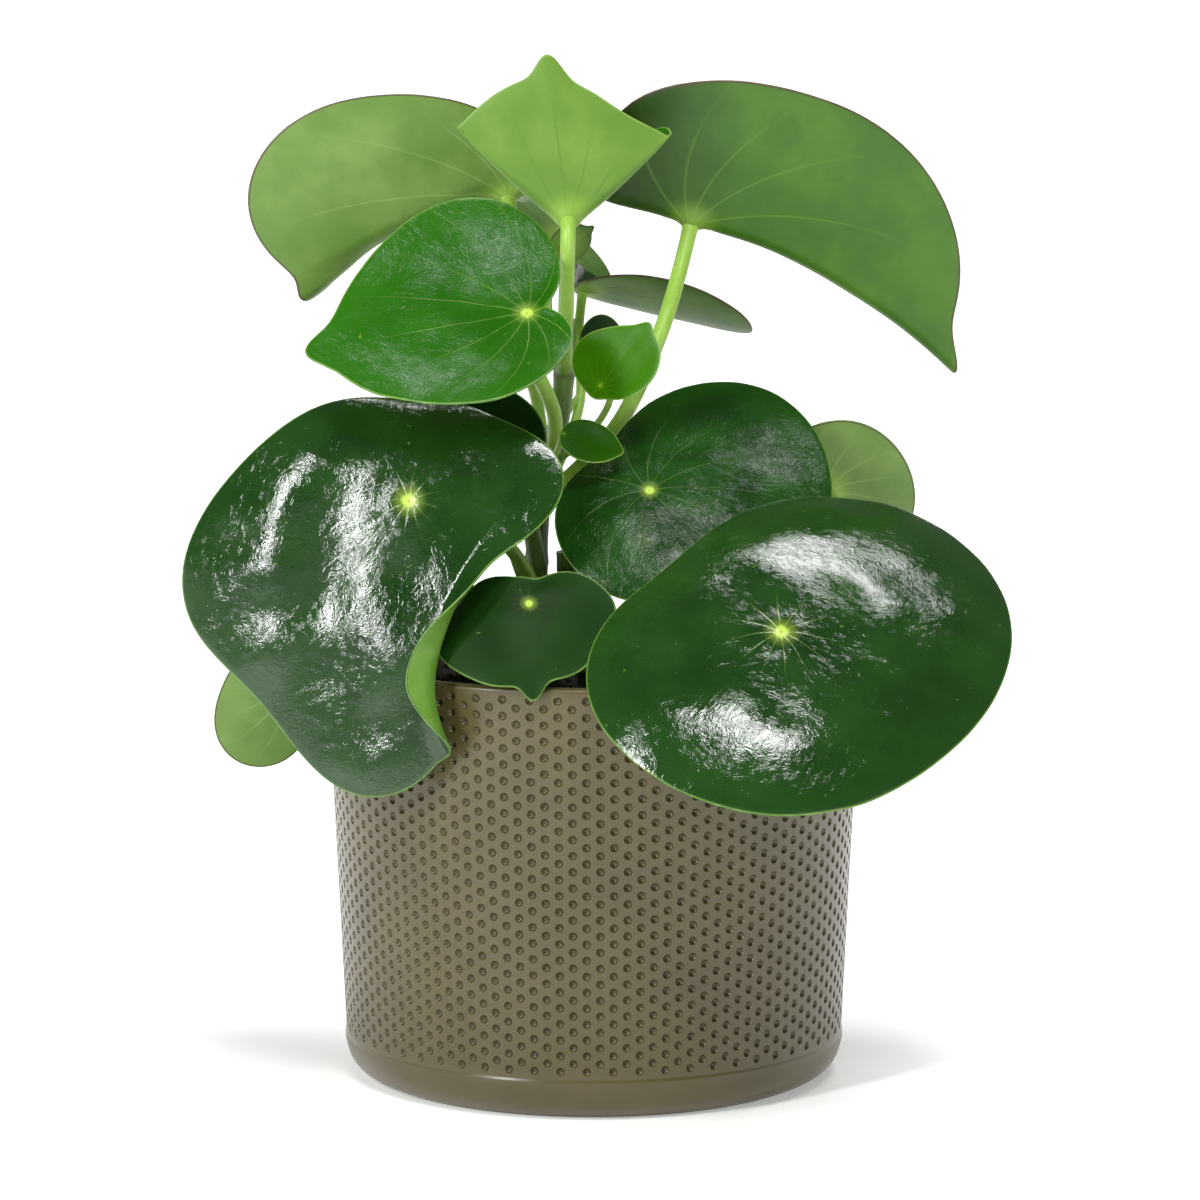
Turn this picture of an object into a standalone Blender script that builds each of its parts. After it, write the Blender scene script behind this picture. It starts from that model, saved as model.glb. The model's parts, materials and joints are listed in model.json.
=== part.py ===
"""Potted peperomia: round, shield-like leaves on three stems in a dimpled round pot.

Sizes are in millimetres and angles in degrees, and turn into metres when a mesh is made.
+Z is up and +X is the right of the plant seen from its front, which faces -Y.
The origin is the centre of the pot's flat foot.
"""
import bpy
import bmesh
import numpy as np
from math import cos, sin, radians, pi, tau
from mathutils import Matrix

MM = 0.001
GAP = 0.3                     # clearance between pieces that touch

# The pot
RIM_RADIUS = 70.0
FOOT_RADIUS = 64.7            # where the straight wall would meet the ground
POT_HEIGHT = 110.5
WALL = 4.5
FLOOR = 5.0
FOOT_ROUND = 8.0              # radius of the lower corner
LIP_ROUND = 1.1
POT_COLUMNS = 62              # dimple columns round the pot
DIMPLE_ROWS = 23
DIMPLE_PITCH = 4.1
DIMPLE_START = 11.0           # height of the lowest row's lower edge
DIMPLE_DEPTH = 1.5

# The soil
SOIL_TOP = 98.0
SOIL_SIDES = 36
SOIL_RINGS = 6
SOIL_LUMP = 1.3
HOLE_DEPTH = 14.0
HOLE_SIDES = 14

# The stems: where each stands in the soil, its path and its radius at both ends
STEM_SIDES = 10
STEM_STEP = 12.0
PETIOLE_STEP = 8.5
STEMS = {
    "stem_main": dict(path=[(-14, 1, 84.4), (-14, 1, 101), (-15, 0, 130), (-14, 0, 149), (-8.5, 0, 174), (-7, 2, 197)],
                      radius=(3.3, 2.6)),
    "stem_left": dict(path=[(-11, -10, 84.4), (-11, -10, 101), (-13, -11, 122), (-16, -12, 143), (-19, -11, 158)],
                      radius=(2.7, 2.2)),
    "stem_right": dict(path=[(-1, -12, 84.4), (-1, -12, 100), (-6, -12, 122), (-7.5, -13, 138)], radius=(2.7, 2.3)),
}

# Each leaf grows from its junction, where the petiole meets the blade under its middle.
# heading and pitch point its tip, and roll turns its upper face about the midrib.
# Lists go round the blade by clock from the tip, in even steps:
# bends curls the blade up from its middle to its edge, and swell lengthens its reach.
# A fold is (clock of its side, distance, degrees, radius, span, place along the line, bow).
FINE = dict(sides=36, rings=6, thick=1.2)
BIG = dict(sides=28, rings=5, thick=1.2)
MEDIUM = dict(sides=20, rings=4, thick=1.0)
BACK = dict(sides=18, rings=4, thick=1.0)
SMALL = dict(sides=14, rings=3, thick=0.8)
LEAVES = {
    "front_left": dict(
        FINE, at=(-46, -50, 155), heading=-122, pitch=-75, roll=-22, length=104, width=100, base=30,
        bends=[-10, 0, -10, -20, -50, -30, -15, -15],
        swell=[1.01, .78, .5, .52, .78, 1.02, .98, 1, 1.04, 1.05, 1.07, 1.06, 1.1, 1.16, 1.01, .94],
        folds=[(88, 10.4, 140, 3.5, 26, -45, (.006, .025))]),
    "front_right": dict(
        BIG, at=(45.7, -80, 126.1), heading=-85, pitch=-42, roll=0, length=101, width=104, base=50,
        bends=[-25] * 8, swell=[.98, .97, 1.15, 1.33, 1.05, .78, .93, .98]),
    "mid_right": dict(
        BIG, at=(14.1, -32, 155.6), heading=-15, pitch=-15, roll=45, length=76, width=84, base=25, taper=.05,
        bends=[-20] * 8, swell=[.88, 1.05, 1.12, .77, .85, .91, .77, .74]),
    "low_centre": dict(
        MEDIUM, at=(-16, -57, 130), heading=-85, pitch=-55, roll=0, length=34, width=44, base=10, taper=.1,
        tip=5, bends=[0, 15, 15, 20, 20, -10, -35, -20],
        swell=[.92, .97, .95, .95, 1.0, 1.02, .93, .7, .72, .78, .97, 1.02, 1.0, 1.11, 1.05, 1.0]),
    "mid_left": dict(
        BIG, at=(-16.9, -31, 200.3), heading=-170, pitch=-9, roll=-45, length=66, width=58, base=14, taper=.15,
        tip=6, bends=[0, 20, 30, 10, 30, 10, 30, 10],
        swell=[.98, 1.04, 1.12, 1.22, 1.04, .9, .84, .62, .41, .58, .98, 1.26, 1.29, 1.21, 1.1, 1.0]),
    "top_left": dict(
        BIG, at=(-22.2, 16, 227.7), heading=180, pitch=-20, roll=65, length=74, width=72, base=14, tip=2,
        bends=[0, 15, 15, 10, 0, 0, 0, 0],
        swell=[.93, 1.25, 1.26, 1.03, .95, .87, .8, .63, .5, .59, .8, .95, 1, 1.03, 1, .92],
        folds=[(-90, -1, 50, 4), (-90, -8, 60, 7, 22, 28)], sweep=-8),
    "top_centre": dict(
        BIG, at=(-6.5, -15, 223.2), heading=-135, pitch=80, roll=45, length=58, width=64, base=15, tip=5,
        tip_width=9, bends=[10] * 8, swell=[.87, .79, 1.2, 1, 1, 1, 1.2, .93],
        folds=[(149, -1, 100, 4), (-135, -1, 100, 4)]),
    "top_right": dict(
        BIG, at=(25.4, 12, 221.1), heading=0, pitch=-14, roll=-65, length=94, width=82, base=24, tip=8,
        tip_width=6, bends=[0, 0, 0, 0, 0, 10, 10, 10],
        swell=[1, .97, 1, 1, 1, 1, 1, .96, 1, 1.2, 1.34, 1.27, 1.15, 1.08, 1.15, 1.16],
        folds=[(90, -3, 80, 4)], sweep=20),
    "bud_upper": dict(
        SMALL, at=(1.8, -26, 181.8), heading=0, pitch=50, roll=60, length=22, width=21, base=4, taper=.1, tip=2,
        bends=[10] * 8, swell=[1.03, 1.05, 1.24, 1.02, 1, .8, .75, 1.1]),
    "bud_lower": dict(
        SMALL, at=(-7.6, -30, 169.8), heading=0, pitch=-20, roll=50, length=16, width=13, base=1, taper=.1, tip=1,
        bends=[10] * 8),
    "back_right": dict(
        BACK, at=(61, 10, 151), heading=20, pitch=-30, roll=-70, length=44, width=42, base=18, taper=.1,
        tip=2, bends=[5] * 8),
    "behind_right": dict(
        MEDIUM, at=(-3, 25, 203), heading=20, pitch=-15, roll=-25, length=48, width=34, base=3, taper=.1,
        tip=1, bends=[0, 60, 120, 120, 40, 0, 0, 0], swell=[1.05, .92, 1.6, 2, 1, 1, 1, 1.1]),
    "low_left": dict(
        SMALL, at=(-80, 0, 100), heading=180, pitch=-25, roll=80, length=28, width=31, base=5.2, taper=.1,
        bends=[5] * 8, swell=[.95, .82, .95, 1, 1, 1, 1, 1.18]),
    "young_tip": dict(
        SMALL, at=(-7.5, 10, 215), heading=0, pitch=34, roll=-65, length=12, width=11, base=4, taper=.1, tip=1.5,
        bends=[10] * 8),
    "behind_top": dict(
        MEDIUM, at=(-8.7, 48, 214.8), heading=180, pitch=42, roll=105, length=36, width=9, base=18, taper=.1,
        bends=[5] * 8),
    "shade_left": dict(
        MEDIUM, at=(-29, -20, 167), heading=180, pitch=-30, roll=-60, length=60, width=50, base=22, taper=.1,
        tip=2, bends=[0] * 8, swell=[.7, .6, .7, .8, .75, .7, .8, .85]),
    "shade_right": dict(
        SMALL, at=(2, 10, 188), heading=90, pitch=70, roll=0, length=14, width=12, base=4, taper=.1,
        bends=[0] * 8),
    "low_back": dict(
        BACK, at=(-26, 30, 122), heading=110, pitch=-30, roll=0, length=40, width=38, base=14, taper=.1,
        tip=3, bends=[-20] * 8),
    "back_high": dict(
        BACK, at=(-42, 55, 198), heading=110, pitch=-20, roll=10, length=50, width=46, base=16, taper=.1,
        tip=3, bends=[-15] * 8),
    "back_middle": dict(
        BACK, at=(26, 48, 150), heading=70, pitch=-25, roll=0, length=56, width=52, base=18, taper=.1,
        tip=3, bends=[-15] * 8),
    "back_left": dict(
        BACK, at=(-72, 50, 128), heading=140, pitch=-35, roll=0, length=60, width=56, base=18, taper=.1,
        tip=3, bends=[-20] * 8),
    "back_low": dict(
        BACK, at=(62, 46, 122), heading=45, pitch=-40, roll=0, length=56, width=54, base=18, taper=.1,
        tip=3, bends=[-20] * 8),
}

# The petioles: the height where each leaves its stem, points on its way, the length of
# its straight end under the leaf, and its radius
PETIOLES = {
    "top_centre": dict(stem="stem_main", height=182, via=[(-7, -11, 204)], under=4, radius=2.0),
    "top_right": dict(stem="stem_main", height=148, via=[(7, -4, 171), (16.5, -6, 192)], under=13, radius=2.1),
    "top_left": dict(stem="stem_main", height=184, under=14, radius=1.9),
    "behind_right": dict(stem="stem_main", height=148, via=[(-3.6, 8, 175)], under=12, radius=1.3),
    "bud_upper": dict(stem="stem_main", height=158, via=[(-1, -7, 168)], under=5, radius=.9),
    "bud_lower": dict(stem="stem_main", height=156, under=4, radius=.8),
    "young_tip": dict(stem="stem_main", height=194, under=4, radius=.7),
    "behind_top": dict(stem="stem_main", height=180, via=[(-12, 22, 202)], under=9, radius=1.1),
    "shade_right": dict(stem="stem_main", height=168, under=3, radius=.8),
    "mid_right": dict(stem="stem_right", height=130, under=12, radius=2.2),
    "back_right": dict(stem="stem_main", height=122, via=[(20, 0, 146)], under=16, radius=1.8),
    "back_high": dict(stem="stem_main", height=158, via=[(-18, 20, 182)], under=14, radius=1.6),
    "back_middle": dict(stem="stem_main", height=120, under=14, radius=1.8),
    "low_back": dict(stem="stem_main", height=106, under=9, radius=1.5),
    "mid_left": dict(stem="stem_main", height=156, via=[(-10, -11, 172)], under=12, radius=1.9),
    "front_left": dict(stem="stem_left", height=108, via=[(-17.5, -20, 134), (-25, -28, 144)], under=14, radius=1.8),
    "shade_left": dict(stem="stem_left", height=114, via=[(-21, -17, 138)], under=8, radius=1.0),
    "low_left": dict(stem="stem_left", height=104, via=[(-40, -10, 128), (-72, -14, 123)], under=9, radius=1.5),
    "back_left": dict(stem="stem_left", height=106, via=[(-40, 14, 127)], under=10, radius=1.8),
    "front_right": dict(stem="stem_right", height=116, via=[(26, -38, 125)], under=10, radius=2.6),
    "low_centre": dict(stem="stem_right", height=106, under=8, radius=1.7),
    "back_low": dict(stem="stem_right", height=110, via=[(34, 14, 126)], under=9, radius=1.8),
}

COLOURS = {
    "leaf": ((0.035, 0.12, 0.022), 0.28),
    "stem": ((0.16, 0.30, 0.05), 0.40),
    "soil": ((0.012, 0.010, 0.007), 0.95),
    "pot": ((0.20, 0.18, 0.13), 0.38),
}


def clear_scene():
    for item in list(bpy.data.objects):
        bpy.data.objects.remove(item)


def make_material(name):
    colour, roughness = COLOURS[name]
    material = bpy.data.materials.new(name)
    material.use_nodes = True
    shader = material.node_tree.nodes["Principled BSDF"]
    shader.inputs["Base Color"].default_value = (*colour, 1)
    shader.inputs["Roughness"].default_value = roughness
    shader.inputs["Metallic"].default_value = 0
    return material


def add_object(name, points, faces, material, crease=40):
    """A mesh object from points in millimetres."""
    mesh = bpy.data.meshes.new(name)
    mesh.from_pydata([tuple(MM * v for v in point) for point in points], [], faces)
    mesh.materials.append(material)
    mesh.shade_smooth()
    mesh.set_sharp_from_angle(angle=radians(crease))
    item = bpy.data.objects.new(name, mesh)
    bpy.context.scene.collection.objects.link(item)
    return item


def recalculate_outward(item):
    """Turn every face of a closed shape outward."""
    form = bmesh.new()
    form.from_mesh(item.data)
    bmesh.ops.recalc_face_normals(form, faces=form.faces)
    form.to_mesh(item.data)
    form.free()


# Pot and soil

def pot_profile():
    """Outer wall from the foot up, over the lip and down to the inner floor: (radius, height)."""
    slope = (RIM_RADIUS - FOOT_RADIUS) / POT_HEIGHT

    def wall(height):
        return FOOT_RADIUS + slope * height

    flat = FOOT_RADIUS - FOOT_ROUND
    foot = [(flat, 0.0)]
    for turn in (22, 44, 66):
        foot.append((flat + FOOT_ROUND * sin(radians(turn)), FOOT_ROUND * (1 - cos(radians(turn)))))
    dimples = [(wall(DIMPLE_START + row * DIMPLE_PITCH), DIMPLE_START + row * DIMPLE_PITCH)
               for row in range(DIMPLE_ROWS + 1)]
    top = POT_HEIGHT
    lip = [(RIM_RADIUS, top - 2 * LIP_ROUND), (RIM_RADIUS - 0.6 * LIP_ROUND, top - 0.4 * LIP_ROUND),
           (RIM_RADIUS - WALL / 2, top), (RIM_RADIUS - WALL, top - LIP_ROUND)]
    inside = [(wall(FLOOR) - WALL, FLOOR)]
    return foot, dimples, lip + inside


def make_pot(material):
    """Turned wall with rows of dents, each one cell pushed in at its middle, in a staggered grid."""
    foot, dimples, rest = pot_profile()
    rings = foot + dimples + rest
    n = POT_COLUMNS
    points = [(r * cos(tau * i / n), r * sin(tau * i / n), z) for r, z in rings for i in range(n)]
    faces = []
    first = len(foot)
    for j in range(len(rings) - 1):
        for i in range(n):
            a, b = j * n + i, j * n + (i + 1) % n
            cell = (a, b, b + n, a + n)
            dented = first <= j < first + DIMPLE_ROWS and (i + j) % 2 == 0
            if dented:
                radius = (rings[j][0] + rings[j + 1][0]) / 2 - DIMPLE_DEPTH
                angle = tau * (i + 0.5) / n
                middle = len(points)
                points.append((radius * cos(angle), radius * sin(angle), (rings[j][1] + rings[j + 1][1]) / 2))
                faces += [(cell[k], cell[(k + 1) % 4], middle) for k in range(4)]
            else:
                faces.append(cell)
    faces.append(tuple(reversed(range(n))))
    faces.append(tuple((len(rings) - 1) * n + i for i in range(n)))
    pot = add_object("pot", points, faces, material, crease=26)
    recalculate_outward(pot)
    for face in pot.data.polygons:
        face.use_smooth = len(face.vertices) != 3
    return pot


def soil_height(x, y):
    """Lumpy ground as a sum of a few waves."""
    waves = sin(0.21 * x + 1.1) * cos(0.17 * y) + sin(0.37 * y + 0.4) * cos(0.31 * x) + sin(0.55 * (x + y)) / 2
    return SOIL_TOP + SOIL_LUMP * waves / 2


def make_soil(material):
    """The soil that fills the pot, with a blind hole for each stem."""
    slope = (RIM_RADIUS - FOOT_RADIUS) / POT_HEIGHT
    bottom = FLOOR + GAP
    inner = FOOT_RADIUS - WALL - GAP
    n = SOIL_SIDES
    facet = cos(pi / POT_COLUMNS)           # keeps the soil's corners inside the pot's flats
    points = [(0, 0, soil_height(0, 0))]
    faces = []
    for ring in range(1, SOIL_RINGS + 1):
        radius = (inner + slope * SOIL_TOP) * facet * ring / SOIL_RINGS
        for i in range(n):
            x, y = radius * cos(tau * i / n), radius * sin(tau * i / n)
            points.append((x, y, soil_height(x, y)))
    for i in range(n):
        low = (inner + slope * bottom) * facet
        points.append((low * cos(tau * i / n), low * sin(tau * i / n), bottom))
    faces += [(0, 1 + i, 1 + (i + 1) % n) for i in range(n)]
    for ring in range(SOIL_RINGS):
        for i in range(n):
            a, b = 1 + ring * n + i, 1 + ring * n + (i + 1) % n
            faces += [(a, a + n, b + n), (a, b + n, b)]
    faces.append(tuple(1 + SOIL_RINGS * n + i for i in reversed(range(n))))
    soil = add_object("soil", points, faces, material)
    recalculate_outward(soil)
    for stem in STEMS.values():
        x, y, z = stem["path"][0]
        cut_hole(soil, (x, y), stem["radius"][0] + GAP, z - GAP)
    return soil


def cut_hole(item, centre, radius, floor):
    """Cut a round blind hole, from its floor up past the top of the soil."""
    form = bmesh.new()
    height = HOLE_DEPTH + 10
    place = Matrix.Translation((MM * centre[0], MM * centre[1], MM * (floor + height / 2)))
    grow = MM * radius / cos(pi / HOLE_SIDES)
    bmesh.ops.create_cone(form, cap_ends=True, segments=HOLE_SIDES, radius1=grow, radius2=grow,
                          depth=MM * height, matrix=place)
    mesh = bpy.data.meshes.new("hole")
    form.to_mesh(mesh)
    form.free()
    cutter = bpy.data.objects.new("hole", mesh)
    bpy.context.scene.collection.objects.link(cutter)
    cut = item.modifiers.new("hole", "BOOLEAN")
    cut.operation = "DIFFERENCE"
    cut.object = cutter
    apply_modifiers(item)
    bpy.data.objects.remove(cutter)


def apply_modifiers(item):
    bpy.context.view_layer.update()
    ready = item.evaluated_get(bpy.context.evaluated_depsgraph_get())
    mesh = bpy.data.meshes.new_from_object(ready)
    item.modifiers.clear()
    item.data = mesh


# Leaves

def round_the_leaf(values, angle):
    """A smooth closed curve through the values, the first at the tip."""
    n = len(values)
    k = np.fft.rfft(values) / n
    out = np.full_like(angle, k[0].real)
    for i in range(1, len(k)):
        weight = 1 if i == n // 2 else 2
        out += weight * (k[i].real * np.cos(i * angle) - k[i].imag * np.sin(i * angle))
    return out


def fold(points, side, distance, degrees, radius, span=None, along=0, bow=(0, 0)):
    """Roll what lies past a line across the leaf round a cylinder. The line may bow outward."""
    c, s = cos(radians(side)), sin(radians(side))
    t = -points[..., 0] * s + points[..., 1] * c - along
    distance = distance + np.where(t > 0, bow[0], bow[1]) * t ** 2
    past = points[..., 0] * c + points[..., 1] * s - distance
    full = np.full_like(t, radians(abs(degrees)))
    if span:
        full = full * np.exp(-(t / span) ** 2)
    sign = np.sign(degrees)
    turn = np.clip(past / radius, 0, full)
    beyond = np.maximum(past - radius * full, 0)
    lift = points[..., 2] * sign
    new = np.where(past > 0, radius * np.sin(turn) + beyond * np.cos(turn) - lift * np.sin(turn), past)
    up = np.where(past > 0, radius * (1 - np.cos(turn)) + beyond * np.sin(turn) + lift * np.cos(turn), lift)
    return np.stack([(new + distance) * c - (t + along) * s, (new + distance) * s + (t + along) * c, up * sign], -1)


def leaf_sheet(leaf):
    """Rings of points from the junction to the edge: x to the tip, y to the side, z off the face."""
    sides, rings = leaf["sides"], leaf["rings"]
    t = np.arange(sides) * tau / sides
    half = leaf["length"] / 2
    x = half - leaf["base"] + half * np.cos(t)
    y = leaf["width"] / 2 * np.sin(t) * (1 - leaf.get("taper", 0) * np.cos(t))
    reach, clock = np.hypot(x, y), np.arctan2(y, x)
    reach = reach * round_the_leaf(leaf.get("swell", [1] * 8), clock)
    reach = reach + leaf.get("tip", 0) * np.exp(-(clock / radians(leaf.get("tip_width", 7))) ** 2)
    bend = np.radians(round_the_leaf(leaf["bends"], clock))
    fine = 8
    s = (np.arange(fine * rings) + 0.5) / (fine * rings)
    angle = bend[None, :] * s[:, None]
    out = np.vstack([np.zeros(sides), np.cumsum(np.cos(angle), 0) / len(s)]) * reach
    lift = np.vstack([np.zeros(sides), np.cumsum(np.sin(angle), 0) / len(s)]) * reach
    points = np.stack([out * np.cos(clock), out * np.sin(clock), lift], -1)[::fine]
    for line in leaf.get("folds", []):
        points = fold(points, *line)
    run = leaf["length"] - leaf["base"]
    points[..., 1] += leaf.get("sweep", 0) * (np.maximum(points[..., 0], 0) / run) ** 2
    return points


def leaf_frame(leaf):
    """The leaf's tip, side and upper face directions in the world."""
    h, p, r = (radians(leaf[key]) for key in ("heading", "pitch", "roll"))
    tip = np.array([cos(p) * cos(h), cos(p) * sin(h), sin(p)])
    up = np.array([-sin(p) * cos(h), -sin(p) * sin(h), cos(p)])
    face = up * cos(r) + np.cross(tip, up) * sin(r)
    return tip, np.cross(face, tip), face


def sheet_faces(sides, rings):
    """Triangles of a sheet whose point 0 is the junction."""
    faces = [(0, 1 + i, 1 + (i + 1) % sides) for i in range(sides)]
    for ring in range(rings - 1):
        for i in range(sides):
            a, b = 1 + ring * sides + i, 1 + ring * sides + (i + 1) % sides
            faces += [(a, a + sides, b + sides), (a, b + sides, b)]
    return faces


def point_normals(points, faces):
    normals = np.zeros_like(points)
    for a, b, c in faces:
        across = np.cross(points[b] - points[a], points[c] - points[a])
        for k in (a, b, c):
            normals[k] += across
    return normals / np.linalg.norm(normals, axis=1)[:, None]


def leaf_points(leaf):
    """The sheet's points in one list, its triangles and its point normals."""
    sheet = leaf_sheet(leaf)
    points = np.vstack([sheet[0, :1], sheet[1:].reshape(-1, 3)])
    faces = sheet_faces(leaf["sides"], leaf["rings"])
    return points, faces, point_normals(points, faces)


def make_leaf(name, leaf, material, plant):
    """A blade of even thickness, split into the same triangles on both faces."""
    points, faces, normals = leaf_points(leaf)
    half = leaf["thick"] / 2
    count, n = len(points), leaf["sides"]
    both = np.vstack([points + half * normals, points - half * normals])
    under = [(a + count, c + count, b + count) for a, b, c in faces]
    edge = count - n
    rim = []
    for i in range(n):
        a, b = edge + i, edge + (i + 1) % n
        rim += [(a, a + count, b + count), (a, b + count, b)]
    blade = add_object("leaf_" + name, both, faces + under + rim, material)
    tip, side, face = leaf_frame(leaf)
    turn = Matrix((tip, side, face)).transposed().to_4x4()
    blade.matrix_world = Matrix.Translation(tuple(MM * v for v in leaf["at"])) @ turn
    blade.parent = plant
    return blade


def petiole_seat(leaf):
    """Where the petiole ends under the blade, and the direction in which it arrives."""
    points, _, normals = leaf_points(leaf)
    frame = np.array(leaf_frame(leaf))
    arrive = normals[0] @ frame
    middle = np.array(leaf["at"]) + points[0] @ frame
    return middle - arrive * (leaf["thick"] / 2 + GAP), arrive


# Stems

def smooth_path(points, spacing):
    """A smooth curve through the points, given as points evenly spaced along it."""
    p = np.array(points, float)
    step = np.diff(p, axis=0)
    length = np.linalg.norm(step, axis=1)[:, None]
    way = step / length
    middle = (way[:-1] * length[1:] + way[1:] * length[:-1]) / (length[1:] + length[:-1])
    way = np.vstack([way[:1], middle, way[-1:]])
    fine = []
    for i in range(len(step)):
        for t in np.arange(16) / 16:
            rise = 3 * t ** 2 - 2 * t ** 3
            leave, land = t - 2 * t ** 2 + t ** 3, t ** 3 - t ** 2
            fine.append(p[i] + rise * step[i] + length[i] * (leave * way[i] + land * way[i + 1]))
    fine = np.array(fine + [p[-1]])
    run = np.concatenate([[0], np.cumsum(np.linalg.norm(np.diff(fine, axis=0), axis=1))])
    even = np.linspace(0, run[-1], max(4, round(run[-1] / spacing) + 1))
    return np.stack([np.interp(even, run, fine[:, axis]) for axis in range(3)], -1)


def make_tube(name, path, radii, sides, material, arrive=None):
    """A closed tube along the path, its rings carried along without twist."""
    path = np.array(path, float)
    along = np.gradient(path, axis=0)
    if arrive is not None:
        along[-1] = arrive
    along /= np.linalg.norm(along, axis=1)[:, None]
    across = np.cross(along[0], (0.3, 1, 0.1))
    points = []
    for centre, way, radius in zip(path, along, radii):
        across = across - way * np.dot(across, way)
        across /= np.linalg.norm(across)
        other = np.cross(way, across)
        for i in range(sides):
            angle = tau * i / sides
            points.append(centre + radius * (cos(angle) * across + sin(angle) * other))
    faces = []
    for ring in range(len(path) - 1):
        for i in range(sides):
            a, b = ring * sides + i, ring * sides + (i + 1) % sides
            faces.append((a, b, b + sides, a + sides))
    faces.append(tuple(reversed(range(sides))))
    faces.append(tuple((len(path) - 1) * sides + i for i in range(sides)))
    return add_object(name, points, faces, material)


def stem_point(stem, height):
    path = smooth_path(stem["path"], 2)
    return np.array([np.interp(height, path[:, 2], path[:, axis]) for axis in range(3)])


def make_petiole(name, petiole, material):
    end, arrive = petiole_seat(LEAVES[name])
    start = stem_point(STEMS[petiole["stem"]], petiole["height"])
    points = [start, *petiole.get("via", []), end - arrive * petiole["under"], end]
    path = smooth_path(points, PETIOLE_STEP)
    radii = petiole["radius"] * np.linspace(1.1, 0.95, len(path))
    sides = 8 if petiole["radius"] > 1.5 else 6
    return make_tube("petiole_" + name, path, radii, sides, material, arrive)


def make_stem(name, stem, material, plant):
    """A stem with its petioles grown on, joined into one solid."""
    path = smooth_path(stem["path"], STEM_STEP)
    radii = np.linspace(*stem["radius"], len(path))
    trunk = make_tube(name, path, radii, STEM_SIDES, material)
    group = bpy.data.collections.new(name + "_petioles")
    bpy.context.scene.collection.children.link(group)
    for leaf, petiole in PETIOLES.items():
        if petiole["stem"] == name:
            piece = make_petiole(leaf, petiole, material)
            bpy.context.scene.collection.objects.unlink(piece)
            group.objects.link(piece)
    join = trunk.modifiers.new("join", "BOOLEAN")
    join.operation = "UNION"
    join.operand_type = "COLLECTION"
    join.collection = group
    apply_modifiers(trunk)
    for piece in list(group.objects):
        bpy.data.objects.remove(piece)
    bpy.data.collections.remove(group)
    trunk.parent = plant
    return trunk


def main():
    clear_scene()
    materials = {name: make_material(name) for name in COLOURS}
    plant = bpy.data.objects.new("plant", None)
    bpy.context.scene.collection.objects.link(plant)
    make_pot(materials["pot"])
    make_soil(materials["soil"])
    for name, stem in STEMS.items():
        make_stem(name, stem, materials["stem"], plant)
    for name, leaf in LEAVES.items():
        make_leaf(name, leaf, materials["leaf"], plant)


main()
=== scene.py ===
"""Potted peperomia: the finished looks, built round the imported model.

Sizes in the tables are in millimetres and angles in degrees, in the same frame as the model:
+Z is up, +X is the right of the plant seen from its front, and the front faces -Y.
"""
import json
from math import cos, sin, radians, pi, tau

import bmesh
import bpy
import numpy as np
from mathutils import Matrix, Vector
from bpy.props import FloatProperty, FloatVectorProperty, IntProperty, PointerProperty

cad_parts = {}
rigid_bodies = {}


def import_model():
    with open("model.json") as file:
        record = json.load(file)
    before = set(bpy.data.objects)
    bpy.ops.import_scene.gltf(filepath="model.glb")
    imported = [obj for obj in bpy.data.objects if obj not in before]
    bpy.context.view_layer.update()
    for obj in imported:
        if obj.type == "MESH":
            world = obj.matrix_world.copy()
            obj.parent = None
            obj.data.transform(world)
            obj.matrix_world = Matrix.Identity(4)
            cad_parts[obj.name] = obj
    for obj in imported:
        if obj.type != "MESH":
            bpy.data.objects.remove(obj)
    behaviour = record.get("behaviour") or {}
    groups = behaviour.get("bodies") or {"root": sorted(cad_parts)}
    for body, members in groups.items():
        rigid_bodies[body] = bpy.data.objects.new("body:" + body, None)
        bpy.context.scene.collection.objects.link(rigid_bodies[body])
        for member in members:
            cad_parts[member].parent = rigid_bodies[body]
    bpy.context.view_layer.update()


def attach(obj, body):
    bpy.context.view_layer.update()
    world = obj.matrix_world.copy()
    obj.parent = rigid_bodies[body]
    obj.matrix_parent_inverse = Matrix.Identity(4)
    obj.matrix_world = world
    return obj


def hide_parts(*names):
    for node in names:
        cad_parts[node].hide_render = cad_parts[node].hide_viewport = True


bl_info = {
    "name": "Potted Peperomia",
    "version": (1, 0, 0),
    "blender": (4, 5, 0),
    "location": "3D View > Sidebar > Peperomia",
    "description": "Makes a potted peperomia: pot, soil, stems, leaves and a plain studio",
    "category": "Add Mesh",
}

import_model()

MM = 0.001

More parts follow.
